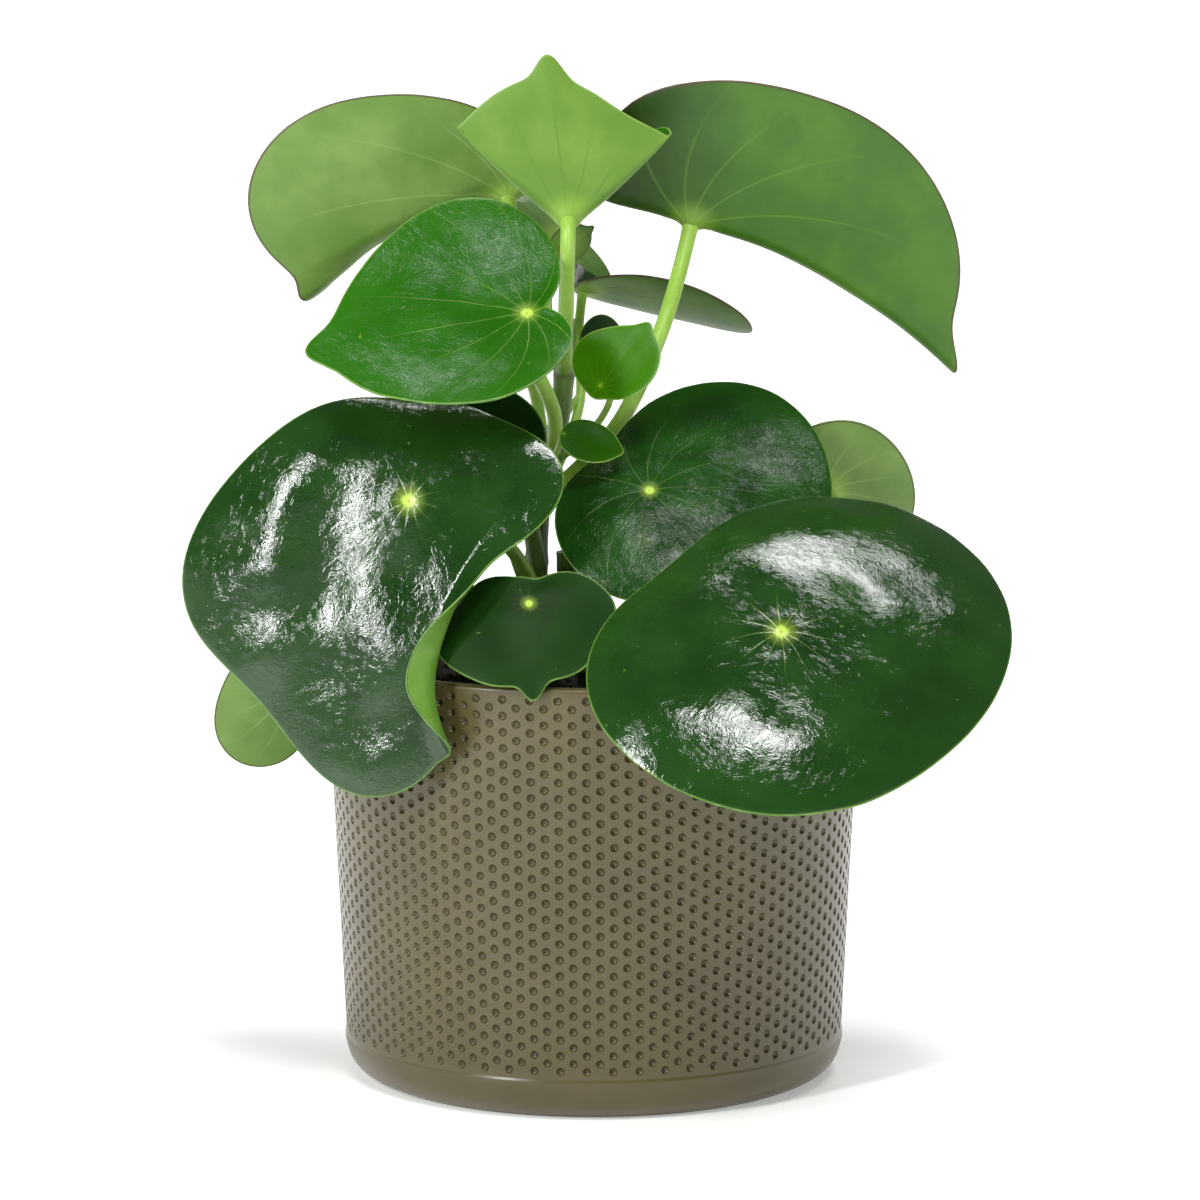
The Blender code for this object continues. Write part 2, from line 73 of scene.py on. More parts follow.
# The stems: the path of each, its radius at both ends and its petioles. A petiole is the height
# where it leaves the stem, the length of its straight end, its radius, and points on its way.
STEMS = {
    "stem_main": dict(
        path=[(-14, 1, 84.4), (-14, 1, 101), (-15, 0, 130), (-14, 0, 149), (-8.5, 0, 174), (-7, 2, 197)],
        radius=(3.3, 2.6),
        petioles={
            "top_centre": (182, 4, 2.0, (-7, -11, 204)),
            "top_right": (148, 13, 2.1, (7, -4, 171), (16.5, -6, 192)),
            "top_left": (184, 14, 1.9),
            "behind_right": (148, 12, 1.3, (-3.6, 8, 175)),
            "bud_upper": (158, 5, 0.9, (-1, -7, 168)),
            "bud_lower": (156, 4, 0.8),
            "young_tip": (194, 4, 0.7),
            "behind_top": (180, 9, 1.1, (-12, 22, 202)),
            "shade_right": (168, 3, 0.8),
            "back_right": (122, 16, 1.8, (20, 0, 146)),
            "back_high": (158, 14, 1.6, (-18, 20, 182)),
            "back_middle": (120, 14, 1.8),
            "low_back": (106, 9, 1.5),
            "mid_left": (156, 12, 1.9, (-10, -11, 172)),
        }),
    "stem_left": dict(
        path=[(-11, -10, 84.4), (-11, -10, 101), (-13, -11, 122), (-16, -12, 143), (-19, -11, 158)],
        radius=(2.7, 2.2),
        petioles={
            "front_left": (108, 14, 1.8, (-17.5, -20, 134), (-25, -28, 144)),
            "shade_left": (114, 8, 1.0, (-21, -17, 138)),
            "low_left": (104, 9, 1.5, (-40, -10, 128), (-72, -14, 123)),
            "back_left": (106, 10, 1.8, (-40, 14, 127)),
        }),
    "stem_right": dict(
        path=[(-1, -12, 84.4), (-1, -12, 100), (-6, -12, 122), (-7.5, -13, 138)],
        radius=(2.7, 2.3),
        petioles={
            "mid_right": (130, 12, 2.2),
            "front_right": (116, 10, 2.6, (26, -38, 125)),
            "low_centre": (106, 8, 1.7),
            "back_low": (110, 9, 1.8, (34, 14, 126)),
        }),
}
PETIOLES = {name: petiole for stem in STEMS.values() for name, petiole in stem["petioles"].items()}

# Each leaf grows from its junction, at, where the petiole meets the blade under its middle.
# turn is the heading and pitch of its tip, and the roll of its upper face about the midrib.
# size is the length, the width, and how far the blade reaches behind the junction.
# looks are the upper face, the underside, the margin, and the height of the crumples and their size.
# Lists go round the blade by clock from the tip, in even steps:
# bends curls the blade up from its middle to its edge, and swell lengthens its reach.
# A fold is (clock of its side, distance, degrees, radius, span, place along the line, bow).
# A hill is (x, y, half length, half width, height). seed picks the crumples.
PLAIN = dict(taper=0, tip=0, tip_width=7, bends=[0], swell=[1], folds=[], hills=[], sweep=0)
FINE = dict(PLAIN, sides=168, rings=40, thick=1.2)
BIG = dict(PLAIN, sides=144, rings=34, thick=1.2)
MEDIUM = dict(PLAIN, sides=96, rings=22, thick=1.0, taper=.1)
BACK = dict(PLAIN, sides=84, rings=18, thick=1.0, taper=.1, tip=3, bends=[-20],
            looks=("deep", "bright", "light", .3, 13))
SMALL = dict(PLAIN, sides=60, rings=12, thick=0.8, taper=.1)
LEAVES = {
    "front_left": dict(
        FINE, at=(-46, -50, 155), turn=(-122, -75, -22), size=(104, 100, 30),
        looks=("deep", "bright", "light", .4, 15), bends=[-10, 0, -10, -20, -50, -30, -15, -15],
        swell=[1.01, .78, .5, .52, .78, 1.02, .98, 1, 1.04, 1.05, 1.07, 1.06, 1.1, 1.16, 1.01, .94],
        folds=[(88, 10.4, 140, 3.5, 26, -45, (.006, .025))], hills=[(15, -18, 38, 9, -1.6)], seed=146),
    "front_right": dict(
        FINE, at=(45.7, -80, 126.1), turn=(-85, -42, 0), size=(101, 104, 50),
        looks=("rayed", "bright", "light", .6, 20), bends=[-25],
        swell=[.98, .97, 1.15, 1.33, 1.05, .78, .93, .98], seed=134),
    "mid_right": dict(
        BIG, at=(14.1, -32, 155.6), turn=(-15, -15, 45), size=(76, 84, 25),
        looks=("veined", "bright", "light", .22, 9), taper=.05, bends=[-20],
        swell=[.88, 1.05, 1.12, .77, .85, .91, .77, .74]),
    "low_centre": dict(
        MEDIUM, at=(-16, -57, 130), turn=(-85, -55, 0), size=(34, 44, 10),
        looks=("calm", "bright", "light", .10, 12), tip=5, bends=[0, 15, 15, 20, 20, -10, -35, -20],
        swell=[.92, .97, .95, .95, 1.0, 1.02, .93, .7, .72, .78, .97, 1.02, 1.0, 1.11, 1.05, 1.0]),
    "mid_left": dict(
        BIG, at=(-16.9, -31, 200.3), turn=(-170, -9, -45), size=(66, 58, 14),
        looks=("fresh", "bright", "light", .16, 8), taper=.15, tip=6,
        bends=[0, 20, 30, 10, 30, 10, 30, 10],
        swell=[.98, 1.04, 1.12, 1.22, 1.04, .9, .84, .62, .41, .58, .98, 1.26, 1.29, 1.21, 1.1, 1.0]),
    "top_left": dict(
        BIG, at=(-22.2, 16, 227.7), turn=(180, -20, 65), size=(74, 72, 14),
        looks=("fresh", "pale", "purple", .18, 16), tip=5, tip_width=5, bends=[0, 15, 15, 10, 0, 0, 0, 0],
        swell=[.93, 1.25, 1.26, 1.03, .95, .87, .8, .63, .5, .59, .8, .95, 1, 1.03, 1, .92],
        folds=[(-90, -1, 50, 4), (-90, -8, 60, 7, 22, 28)], sweep=-8),
    "top_centre": dict(
        BIG, at=(-6.5, -15, 223.2), turn=(-135, 80, 45), size=(58, 64, 15),
        looks=("fresh", "young", "young", .10, 16), tip=6, tip_width=6, bends=[10],
        swell=[.85, .79, 1.2, 1, 1, 1, 1.2, .93], folds=[(149, -1, 100, 3), (-135, -1, 100, 3)]),
    "top_right": dict(
        BIG, at=(25.4, 12, 221.1), turn=(0, -14, -65), size=(94, 82, 24),
        looks=("fresh", "green", "purple", .18, 18), tip=8, tip_width=6, bends=[0, 0, 0, 0, 0, 10, 10, 10],
        swell=[1, .97, 1, 1, 1, 1, 1, .96, 1, 1.2, 1.34, 1.27, 1.15, 1.08, 1.15, 1.16],
        folds=[(90, -3, 80, 4)], sweep=20),
    "bud_upper": dict(
        SMALL, at=(1.8, -26, 181.8), turn=(0, 50, 60), size=(22, 21, 4),
        looks=("young", "young", "young", .08, 6), tip=2, bends=[10],
        swell=[1.03, 1.05, 1.24, 1.02, 1, .8, .75, 1.1]),
    "bud_lower": dict(
        SMALL, at=(-7.6, -30, 169.8), turn=(0, -20, 50), size=(16, 13, 1),
        looks=("bud", "young", "young", .06, 6), tip=1, bends=[10]),
    "back_right": dict(
        BACK, at=(61, 10, 151), turn=(20, -30, -70), size=(44, 42, 18),
        looks=("deep", "pale", "light", .12, 12), tip=2, bends=[5]),
    "behind_right": dict(
        MEDIUM, at=(-3, 25, 203), turn=(20, -15, -25), size=(48, 34, 3),
        looks=("deep", "grey", "purple", .12, 12), tip=1, bends=[0, 60, 120, 120, 40, 0, 0, 0],
        swell=[1.05, .92, 1.6, 2, 1, 1, 1, 1.1]),
    "low_left": dict(
        SMALL, at=(-80, 0, 100), turn=(180, -25, 80), size=(28, 31, 5.2),
        looks=("deep", "pale", "light", .08, 10), bends=[5], swell=[.95, .82, .95, 1, 1, 1, 1, 1.18]),
    "young_tip": dict(
        SMALL, at=(-7.5, 10, 215), turn=(0, 34, -65), size=(12, 11, 4),
        looks=("deep", "green", "young", .04, 6), tip=1.5, bends=[10]),
    "behind_top": dict(
        MEDIUM, at=(-8.7, 48, 214.8), turn=(180, 42, 105), size=(36, 9, 18),
        looks=("deep", "grey", "purple", .08, 10), bends=[5]),
    "shade_left": dict(
        MEDIUM, at=(-29, -20, 167), turn=(180, -30, -60), size=(60, 50, 22),
        looks=("calm", "green", "light", .10, 12), tip=2, swell=[.7, .6, .7, .8, .75, .7, .8, .85]),
    "shade_right": dict(
        SMALL, at=(2, 10, 188), turn=(90, 70, 0), size=(14, 12, 4),
        looks=("calm", "green", "light", .05, 8)),
    "low_back": dict(
        BACK, at=(-26, 30, 122), turn=(110, -30, 0), size=(40, 38, 14),
        looks=("deep", "bright", "light", .25, 12)),
    "back_high": dict(
        BACK, at=(-42, 55, 198), turn=(110, -20, 10), size=(50, 46, 16),
        looks=("deep", "bright", "light", .3, 12), bends=[-15]),
    "back_middle": dict(
        BACK, at=(26, 48, 150), turn=(70, -25, 0), size=(56, 52, 18), bends=[-15]),
    "back_left": dict(
        BACK, at=(-72, 50, 128), turn=(140, -35, 0), size=(60, 56, 18)),
    "back_low": dict(
        BACK, at=(62, 46, 122), turn=(45, -40, 0), size=(56, 54, 18)),
}


def paint(red, green, blue):
    """A linear colour from the 0 to 255 values of a screen."""
    return tuple(((v / 255 + 0.055) / 1.055) ** 2.4 if v > 10 else v / 3294.6 for v in (red, green, blue))


# Sizes and colours that a user would change

def length_input(name, description, default):
    return FloatProperty(name=name, description=description, default=default, unit="LENGTH",
                         subtype="DISTANCE")


def colour_input(name, description, default):
    return FloatVectorProperty(name=name, description=description, default=default, subtype="COLOR", size=3,
                               min=0, max=1)


def power_input(name, description, default):
    return FloatProperty(name=name, description=description, default=default, unit="POWER")


class PotProperties(bpy.types.PropertyGroup):
    rim_radius: length_input("Rim radius", "Outer radius at the rim", 0.070)
    foot_radius: length_input("Foot radius", "Radius where the wall would meet the ground", 0.0647)
    height: length_input("Height", "Height of the pot", 0.1105)
    wall: length_input("Lip thickness", "Thickness of the wall at its lip", 0.0034)
    columns: IntProperty(name="Dimple columns", description="Columns of dimples, an even number", default=124)
    rows: IntProperty(name="Dimple rows", description="Dimples in a full column", default=24)
    pitch: length_input("Dimple pitch", "Distance between two dimples of a column", 0.0041)
    first: length_input("Dimple start", "Height of the lower edge of the dimpled wall", 0.011)
    dimple_radius: length_input("Dimple radius", "Radius of a dimple", 0.00116)
    dimple_depth: length_input("Dimple depth", "Depth of a dimple", 0.00095)
    glaze: colour_input("Glaze", "Colour of the glaze", paint(78, 70, 40))


class SoilProperties(bpy.types.PropertyGroup):
    level: length_input("Level", "Height of the top of the soil", 0.098)
    crumbs: FloatProperty(name="Crumbs", description="Crumbs on a square metre of soil", default=90000)
    seed: IntProperty(name="Seed", description="Seed of the scattered crumbs", default=5)
    colour: colour_input("Colour", "Colour of damp soil", paint(38, 30, 22))


class StemProperties(bpy.types.PropertyGroup):
    node_step: length_input("Node spacing", "Distance between the nodes of a stem", 0.0165)
    trunk: colour_input("Trunk", "Colour of an old stem", paint(26, 58, 2))
    petiole: colour_input("Petiole", "Colour of a petiole", paint(140, 180, 68))


class LeafProperties(bpy.types.PropertyGroup):
    relief: FloatProperty(name="Crumple", description="Share of the crumples in the blades", default=1.0,
                          min=0, max=2, subtype="FACTOR")
    deep: colour_input("Old leaf", "Upper face of an old leaf", paint(14, 46, 8))
    fresh: colour_input("Fresh leaf", "Upper face of a fresh leaf", paint(28, 84, 5))
    young: colour_input("Young leaf", "Upper face of a young leaf", paint(42, 92, 1))
    under: colour_input("Underside", "Underside of an old leaf", paint(84, 128, 34))
    vein: colour_input("Vein", "Veins and the spot over the petiole", paint(176, 206, 84))


class StageProperties(bpy.types.PropertyGroup):
    key: power_input("Key light", "Power of the strip light at the front left", 14)
    top: power_input("Top light", "Power of the softbox over the front", 8)
    back: power_input("Back light", "Power of the softbox over the back", 10)
    surround: FloatProperty(name="Surround", description="Strength of the soft light all round", default=0.14)
    floor: colour_input("Floor", "Colour of the floor", (0.9, 0.9, 0.9))


# Nodes

def arithmetic(operation, reflected=False):
    """A Python operator that adds a Math node."""
    def apply(wire, other):
        pair = (other, wire) if reflected else (wire, other)
        return wire.maker.math(operation, *pair)
    return apply


class Wire:
    """One output of a node. Arithmetic on it adds Math nodes."""

    def __init__(self, maker, socket):
        self.maker = maker
        self.socket = socket

    def also(self, name):
        """Another output of the same node."""
        return Wire(self.maker, self.socket.node.outputs[name])

    __add__ = arithmetic("ADD")
    __radd__ = arithmetic("ADD", True)
    __sub__ = arithmetic("SUBTRACT")
    __rsub__ = arithmetic("SUBTRACT", True)
    __mul__ = arithmetic("MULTIPLY")
    __rmul__ = arithmetic("MULTIPLY", True)
    __truediv__ = arithmetic("DIVIDE")
    __rtruediv__ = arithmetic("DIVIDE", True)
    __pow__ = arithmetic("POWER")
    __mod__ = arithmetic("FLOORED_MODULO")


class Maker:
    """Adds nodes to one tree."""

    def __init__(self, tree):
        self.tree = tree

    def add(self, kind, settings=None, inputs=None, output=0):
        """A node of a type, with its settings, then its sockets' values or links. Gives one output."""
        node = self.tree.nodes.new(kind)
        for key, value in (settings or {}).items():
            setattr(node, key, value)
        for key, value in (inputs or {}).items():
            for one in value if isinstance(value, list) else [value]:
                if isinstance(one, Wire):
                    self.tree.links.new(one.socket, node.inputs[key])
                else:
                    node.inputs[key].default_value = one
        return Wire(self, node.outputs[output]) if len(node.outputs) else None

    def math(self, operation, *values):
        return self.add("ShaderNodeMath", {"operation": operation}, dict(enumerate(values)))

    def vector(self, operation, *values):
        return self.add("ShaderNodeVectorMath", {"operation": operation}, dict(enumerate(values)))

    def step(self, value, low, high, to_low=0.0, to_high=1.0):
        """A soft step of a value between two limits."""
        return self.add("ShaderNodeMapRange", {"interpolation_type": "SMOOTHSTEP"},
                        {0: value, 1: low, 2: high, 3: to_low, 4: to_high})

    def tint(self, share, first, second):
        """A colour between two."""
        pair = [(*c, 1) if isinstance(c, tuple) else c for c in (first, second)]
        return self.add("ShaderNodeMix", {"data_type": "RGBA"}, {0: share, 6: pair[0], 7: pair[1]}, 2)

    def noise(self, place, scale, detail=2.0, roughness=0.5, distortion=0.0):
        return self.add("ShaderNodeTexNoise", None, {"Vector": place, "Scale": scale, "Detail": detail,
                                                     "Roughness": roughness, "Distortion": distortion})

    def attribute(self, name, output):
        return self.add("ShaderNodeAttribute", {"attribute_name": name}, None, output)

    def place(self):
        """Object coordinates."""
        return self.add("ShaderNodeTexCoord", None, None, "Object")

    def split(self, vector):
        """The X output of a vector. also gives Y and Z."""
        return self.add("ShaderNodeSeparateXYZ", None, {0: vector})

    def join(self, x, y, z):
        return self.add("ShaderNodeCombineXYZ", None, {0: x, 1: y, 2: z})


class Finish(Maker):
    """A new material, its nodes and its shader. shine is the strength of its reflections."""

    def __init__(self, name, shine, **fixed):
        self.material = bpy.data.materials.new(name)
        self.material.use_nodes = True
        super().__init__(self.material.node_tree)
        for socket, value in {"Specular_IOR_Level": shine, **fixed}.items():
            self.socket(socket).default_value = value

    def socket(self, name):
        return self.tree.nodes["Principled BSDF"].inputs[name.replace("_", " ")]

    def bump(self, height, strength, distance):
        return self.add("ShaderNodeBump", None,
                        {"Strength": strength, "Distance": distance, "Height": height})

    def end(self, **wires):
        for name, wire in wires.items():
            self.tree.links.new(wire.socket, self.socket(name))
        return self.material


class Tree(Maker):
    """A new geometry tree. given is its geometry, then its named inputs."""

    def __init__(self, name, **kinds):
        super().__init__(bpy.data.node_groups.new(name, "GeometryNodeTree"))
        sockets = self.tree.interface
        for title, kind in {"Geometry": "Geometry", **kinds}.items():
            sockets.new_socket(title.replace("_", " "), in_out="INPUT", socket_type="NodeSocket" + kind)
        sockets.new_socket("Geometry", in_out="OUTPUT", socket_type="NodeSocketGeometry")
        start = self.add("NodeGroupInput")
        self.given = [start] + [start.also(title.replace("_", " ")) for title in kinds]

    def end(self, geometry, material):
        """Realize, set the material and end the tree."""
        real = self.add("GeometryNodeRealizeInstances", None, {0: geometry})
        done = self.add("GeometryNodeSetMaterial", None, {"Geometry": real, "Material": material})
        self.add("NodeGroupOutput", None, {0: done})
        return self

    def run(self, item, label, **values):
        """Run the tree on a piece, and keep what it gives as the piece's plain mesh."""
        modifier = item.modifiers.new(label, "NODES")
        modifier.node_group = self.tree
        for socket in self.tree.interface.items_tree:
            name = socket.name.replace(" ", "_")
            if name in values:
                modifier[socket.identifier] = values[name]
        bake_modifiers(item)


def shades(colour, *shares):
    """Darker or lighter shades of a colour."""
    return [tuple(share * v for v in colour) for share in shares]


# Leaf finishes

VEINS = 12                    # main veins of a blade
VEIN_LEAN = 0.55              # how far the veins lean towards the tip as they run out


def vein_distance(clock, share, reach, sine, absolute):
    """Distance to the nearest vein, for arrays or for node outputs."""
    turn = (clock + VEIN_LEAN * share * sine(clock)) * VEINS / tau
    return absolute((turn + 0.5) % 1.0 - 0.5) * (tau / VEINS) * reach


def blade_map(m):
    """What a finish reads from a blade, in millimetres.

    x and y on the flat blade, the share of the way to its edge, the distance to that edge,
    the reach from the petiole, the place in space and the distance to the nearest vein.
    """
    x = m.split(m.attribute("blade", "Vector"))
    y, share = x.also("Y"), x.also("Z")
    rim = m.attribute("rim", "Fac")
    reach = (x * x + y * y) ** 0.5
    line = vein_distance(m.math("ARCTAN2", y, x), share, reach,
                         lambda value: m.math("SINE", value), lambda value: m.math("ABSOLUTE", value))
    return x, y, share, rim, reach, m.place(), line


def leaf_face(name, colour, light, vein, gloss, wrinkle, rays, run, spot, shine):
    """Waxy upper face: mottled green, pale veins from a pale spot, a light edge and fine wrinkles.

    rays is the strength of the veins, run the distance in millimetres where they fade out,
    spot the radius of the pale spot and shine the strength of the reflections.
    """
    m = Finish(name, shine)
    x, y, share, rim, reach, place, line = blade_map(m)
    cloud = m.noise(place, 70, 3, 0.55)
    fleck = m.noise(place, 420, 2)
    body = m.tint(m.step(cloud, 0.25, 0.8), colour, light)
    body = m.tint(m.step(share, 0.55, 1.05) * 0.55, body, light)
    thread = m.step(line, 0.24, 0.05) * m.step(reach, run, run * 0.2)
    thread = thread * m.step(cloud, 0.3, 0.55, 0.55, 1.0)
    body = m.tint(thread * rays, body, vein)
    body = m.tint(m.step(reach, 2.3 * spot, 0.5 * spot) * 0.3, body, vein)
    body = m.tint(m.step(reach + fleck * 0.8 * spot, 1.5 * spot, 0.8 * spot), body, vein)
    body = m.tint(m.step(reach, 0.24 * spot, 0.08 * spot) * 0.6, body, paint(120, 104, 60))
    body = m.tint(m.step(rim, 0.35, 0.08) * 0.4, body, paint(112, 150, 56))
    body = m.tint(m.step(fleck, 0.72, 0.78) * 0.15, body, vein)
    fine = m.noise(place, 1100, 2, 0.6, 1.2)
    crease = m.noise(place, 330, 3, 0.6, 1.8)
    streak = m.noise(m.join(x / reach * 7.0, y / reach * 7.0, reach * 0.07), 1.0, 3, 0.6, 0.5)
    height = m.math("ABSOLUTE", crease - 0.5) * 1.1 + streak * 0.8 * m.step(reach, 3.0, 14.0) + fine * 0.12
    height = height - thread * 0.3
    return m.end(Base_Color=body, Roughness=gloss + cloud * 0.06, Normal=m.bump(height, wrinkle, 0.0005))


def leaf_back(name, colour, light, vein, edge, gloss, painted_shade):
    """Matt underside: paler, with soft veins. Its last argument paints shade on it, darker away from the tip.
    """
    m = Finish(name, 0.4)
    x, _, share, rim, reach, place, line = blade_map(m)
    cloud = m.noise(place, 45, 4, 0.6)
    body = m.tint(m.step(cloud, 0.35, 0.7), colour, light)
    # Painted shade: the underside darker away from the tip, where leaves above shadow it.
    body = m.tint(m.step(x, 14.0, -22.0) * painted_shade, body, *shades(colour, 0.3))
    thread = m.step(line, 0.55, 0.08) * m.step(share, 1.05, 0.3) * m.step(cloud, 0.3, 0.6, 0.5, 1.0)
    body = m.tint(thread * 0.5, body, vein)
    body = m.tint(m.step(reach, 9.0, 2.0) * 0.5, body, paint(140, 176, 62))
    body = m.tint(m.step(rim, 0.5, 0.2) * 0.8, body, edge)
    fine = m.noise(place, 700, 3, 0.6)
    return m.end(Base_Color=body, Roughness=gloss + cloud * 0.15,
                 Normal=m.bump(fine * 0.6 - thread * 0.5, 0.18, 0.0005))


def leaf_edge(name, colour, light):
    """The rounded margin of a blade."""
    m = Finish(name, 0.5)
    cloud = m.noise(m.place(), 260, 3)
    return m.end(Base_Color=m.tint(m.step(cloud, 0.35, 0.65), colour, light), Roughness=0.3 + cloud * 0.15)


def leaf_finishes(looks):
    """The materials of the blades by name: those of upper faces, of undersides and of margins."""
    deep, fresh, young = tuple(looks.deep), tuple(looks.fresh), tuple(looks.young)
    vein, purple = tuple(looks.vein), paint(62, 46, 34)
    faces = {
        "deep": (deep, paint(26, 60, 15), vein, 0.08, 0.26, 0.1, 10, 2.3, 0.55),
        "rayed": (deep, paint(28, 63, 16), vein, 0.08, 0.26, 0.2, 15, 2.3, 0.55),
        "veined": (deep, paint(28, 72, 14), vein, 0.2, 0.45, 0.07, 40, 1.5, 0.2),
        "calm": (paint(14, 40, 6), paint(21, 54, 9), vein, 0.4, 0.1, 0.04, 6, 1.2, 0.08),
        "fresh": (fresh, paint(38, 96, 9), vein, 0.22, 0.4, 0.2, 50, 2.0, 0.16),
        "young": (young, paint(54, 108, 3), paint(110, 156, 30), 0.28, 0.12, 0.14, 16, 0.7, 0.1),
        "bud": (paint(26, 66, 0), paint(36, 80, 1), paint(90, 134, 24), 0.28, 0.12, 0.1, 8, 0.5, 0.04),
    }
    # The last value of an underside is the strength of its painted shade, darker away from the tip.
    backs = {
        "bright": (tuple(looks.under), paint(108, 144, 58), paint(118, 156, 62), purple, 0.42, 0),
        "pale": (paint(85, 119, 43), paint(107, 137, 64), paint(128, 160, 84), purple, 0.42, 0),
        "young": (paint(84, 122, 28), paint(102, 137, 46), paint(66, 112, 24), paint(96, 132, 52), 0.45, 0),
        "green": (paint(50, 92, 12), paint(67, 107, 21), paint(92, 132, 40), purple, 0.42, 0.75),
        "grey": (paint(66, 100, 34), paint(92, 124, 56), paint(58, 92, 34), purple, 0.45, 0),
    }
    edges = {
        "light": (paint(66, 108, 30), paint(96, 134, 50)),
        "purple": (purple, paint(92, 78, 50)),
        "young": (paint(100, 140, 42), paint(124, 160, 64)),
    }
    return [
        {key: leaf_face(f"leaf {key} green", *values) for key, values in faces.items()},
        {key: leaf_back(f"underside {key}", *values) for key, values in backs.items()},
        {key: leaf_edge(f"margin {key}", *values) for key, values in edges.items()},
    ]


# Leaf shapes

CURVE_STEPS = 6               # steps of a blade's curve between two of its rings
TIP_CROWDING = 0.4            # how much closer the points of a ring stand near the tip
MARGIN = 0.35                 # width of the rounded margin, as a share of the blade's thickness
MARGIN_TURNS = (50, 0, -50)   # directions of the margin, from its upper to its lower edge
MARGIN_THINNING = 0.55        # share of the thickness that is lost towards the margin
STALK_SWELLING = (0.8, 1.35)  # height and radius of the swelling under a blade, in petiole radii
WAVES = 7                     # waves in the crumples
GROOVES = 0.1                 # depth of the grooves over the veins, as a share of the crumples


def round_the_leaf(values, angle):
    """A smooth closed curve through the values, the first at the tip."""
    n = len(values)
    k = np.fft.rfft(values) / n
    out = np.full_like(angle, k[0].real)
    for i in range(1, len(k)):
        weight = 1 if i == n // 2 else 2
        out += weight * (k[i].real * np.cos(i * angle) - k[i].imag * np.sin(i * angle))
    return out


def fold(points, side, distance, degrees, radius, span=None, along=0, bow=(0, 0)):
    """Roll what lies past a line across the leaf round a cylinder. The line may bow outward."""
    c, s = cos(radians(side)), sin(radians(side))
    t = -points[..., 0] * s + points[..., 1] * c - along
    distance = distance + np.where(t > 0, bow[0], bow[1]) * t ** 2
    past = points[..., 0] * c + points[..., 1] * s - distance
    full = np.full_like(t, radians(abs(degrees)))
    if span:
        full = full * np.exp(-(t / span) ** 2)
    sign = np.sign(degrees)
    turn = np.clip(past / radius, 0, full)
    beyond = np.maximum(past - radius * full, 0)
    lift = points[..., 2] * sign
    new = np.where(past > 0, radius * np.sin(turn) + beyond * np.cos(turn) - lift * np.sin(turn), past)
    up = np.where(past > 0, radius * (1 - np.cos(turn)) + beyond * np.sin(turn) + lift * np.cos(turn), lift)
    new = new + distance
    t = t + along
    return np.stack([new * c - t * s, new * s + t * c, up * sign], -1)


def crumple(x, y, seed, size):
    """Relief between about -1 and 1, from waves bent by each other."""
    rng = np.random.default_rng(seed)
    total = np.zeros_like(x)
    for _ in range(WAVES):
        angle, phase, other = rng.uniform(0, tau, 3)
        wave = size * rng.uniform(0.7, 2.2)
        along = tau * (x * cos(angle) + y * sin(angle)) / wave
        across = tau * (y * cos(angle) - x * sin(angle)) / (1.6 * wave)
        total += np.sin(along + phase + 1.1 * np.sin(across + other)) * wave / size
    return total / 5


def leaf_sheet(leaf, relief=0.0, size=12.0, seed=0):
    """Rings of points from the junction to the edge, and for each point its place on the flat blade."""
    sides, rings = leaf["sides"], leaf["rings"]
    length, width, base = leaf["size"]
    even = np.arange(sides) * tau / sides
    t = even - TIP_CROWDING * np.sin(even)
    x = length / 2 - base + length / 2 * np.cos(t)
    y = width / 2 * np.sin(t) * (1 - leaf["taper"] * np.cos(t))
    reach, clock = np.hypot(x, y), np.arctan2(y, x)
    reach = reach * round_the_leaf(leaf["swell"], clock)
    reach = reach + leaf["tip"] * np.exp(-(clock / radians(leaf["tip_width"])) ** 2)
    reach = reach - MARGIN * leaf["thick"]
    bend = np.radians(round_the_leaf(leaf["bends"], clock))
    steps = CURVE_STEPS * rings
    angle = bend[None, :] * ((np.arange(steps) + 0.5) / steps)[:, None]
    out, lift = (np.vstack([np.zeros(sides), np.cumsum(way(angle), 0) / steps]) * reach
                 for way in (np.cos, np.sin))
    points = np.stack([out * np.cos(clock), out * np.sin(clock), lift], -1)[::CURVE_STEPS]
    share = np.linspace(0, 1, rings + 1)[:, None] * np.ones(sides)
    flat = share * reach
    flat_x, flat_y = flat * np.cos(clock), flat * np.sin(clock)
    if relief:
        points[..., 2] += blade_relief(flat_x, flat_y, flat, share, relief, size, seed)
        points[..., 2] += hills(leaf, flat_x, flat_y)
    for line in leaf["folds"]:
        points = fold(points, *line)
    points[..., 1] += leaf["sweep"] * (np.maximum(points[..., 0], 0) / (length - base)) ** 2
    return points, np.stack([flat_x, flat_y, share], -1), reach - flat


def hills(leaf, x, y):
    """Broad swells and hollows of a blade."""
    total = np.zeros_like(x)
    for at_x, at_y, length, width, height in leaf["hills"]:
        total += height * np.exp(-((x - at_x) / length) ** 2 - ((y - at_y) / width) ** 2)
    return total


def blade_relief(x, y, reach, share, relief, size, seed):
    """Crumples, shallow vein grooves and the dent over the petiole."""
    clock = np.arctan2(y, x)
    off = vein_distance(clock, share, reach, np.sin, np.abs)
    groove = np.exp(-(off / 1.1) ** 2) * np.clip(reach / 4, 0, 1) * (1 - share) ** 0.7
    dent = np.exp(-(reach / 2.6) ** 2)
    waves = 0.7 * crumple(x, y, seed, size) + 1.2 * crumple(x, y, seed + 40, 2.3 * size)
    waves = waves * np.clip(reach / 8, 0, 1)
    return relief * waves - min(relief, 0.25) * GROOVES * groove - min(1.0, relief * 4) * 0.5 * dent


def leaf_frame(leaf):
    """The leaf's tip, side and upper face directions in the world."""
    h, p, r = (radians(angle) for angle in leaf["turn"])
    tip = np.array([cos(p) * cos(h), cos(p) * sin(h), sin(p)])
    up = np.array([-sin(p) * cos(h), -sin(p) * sin(h), cos(p)])
    face = up * cos(r) + np.cross(tip, up) * sin(r)
    return np.array([tip, np.cross(face, tip), face])


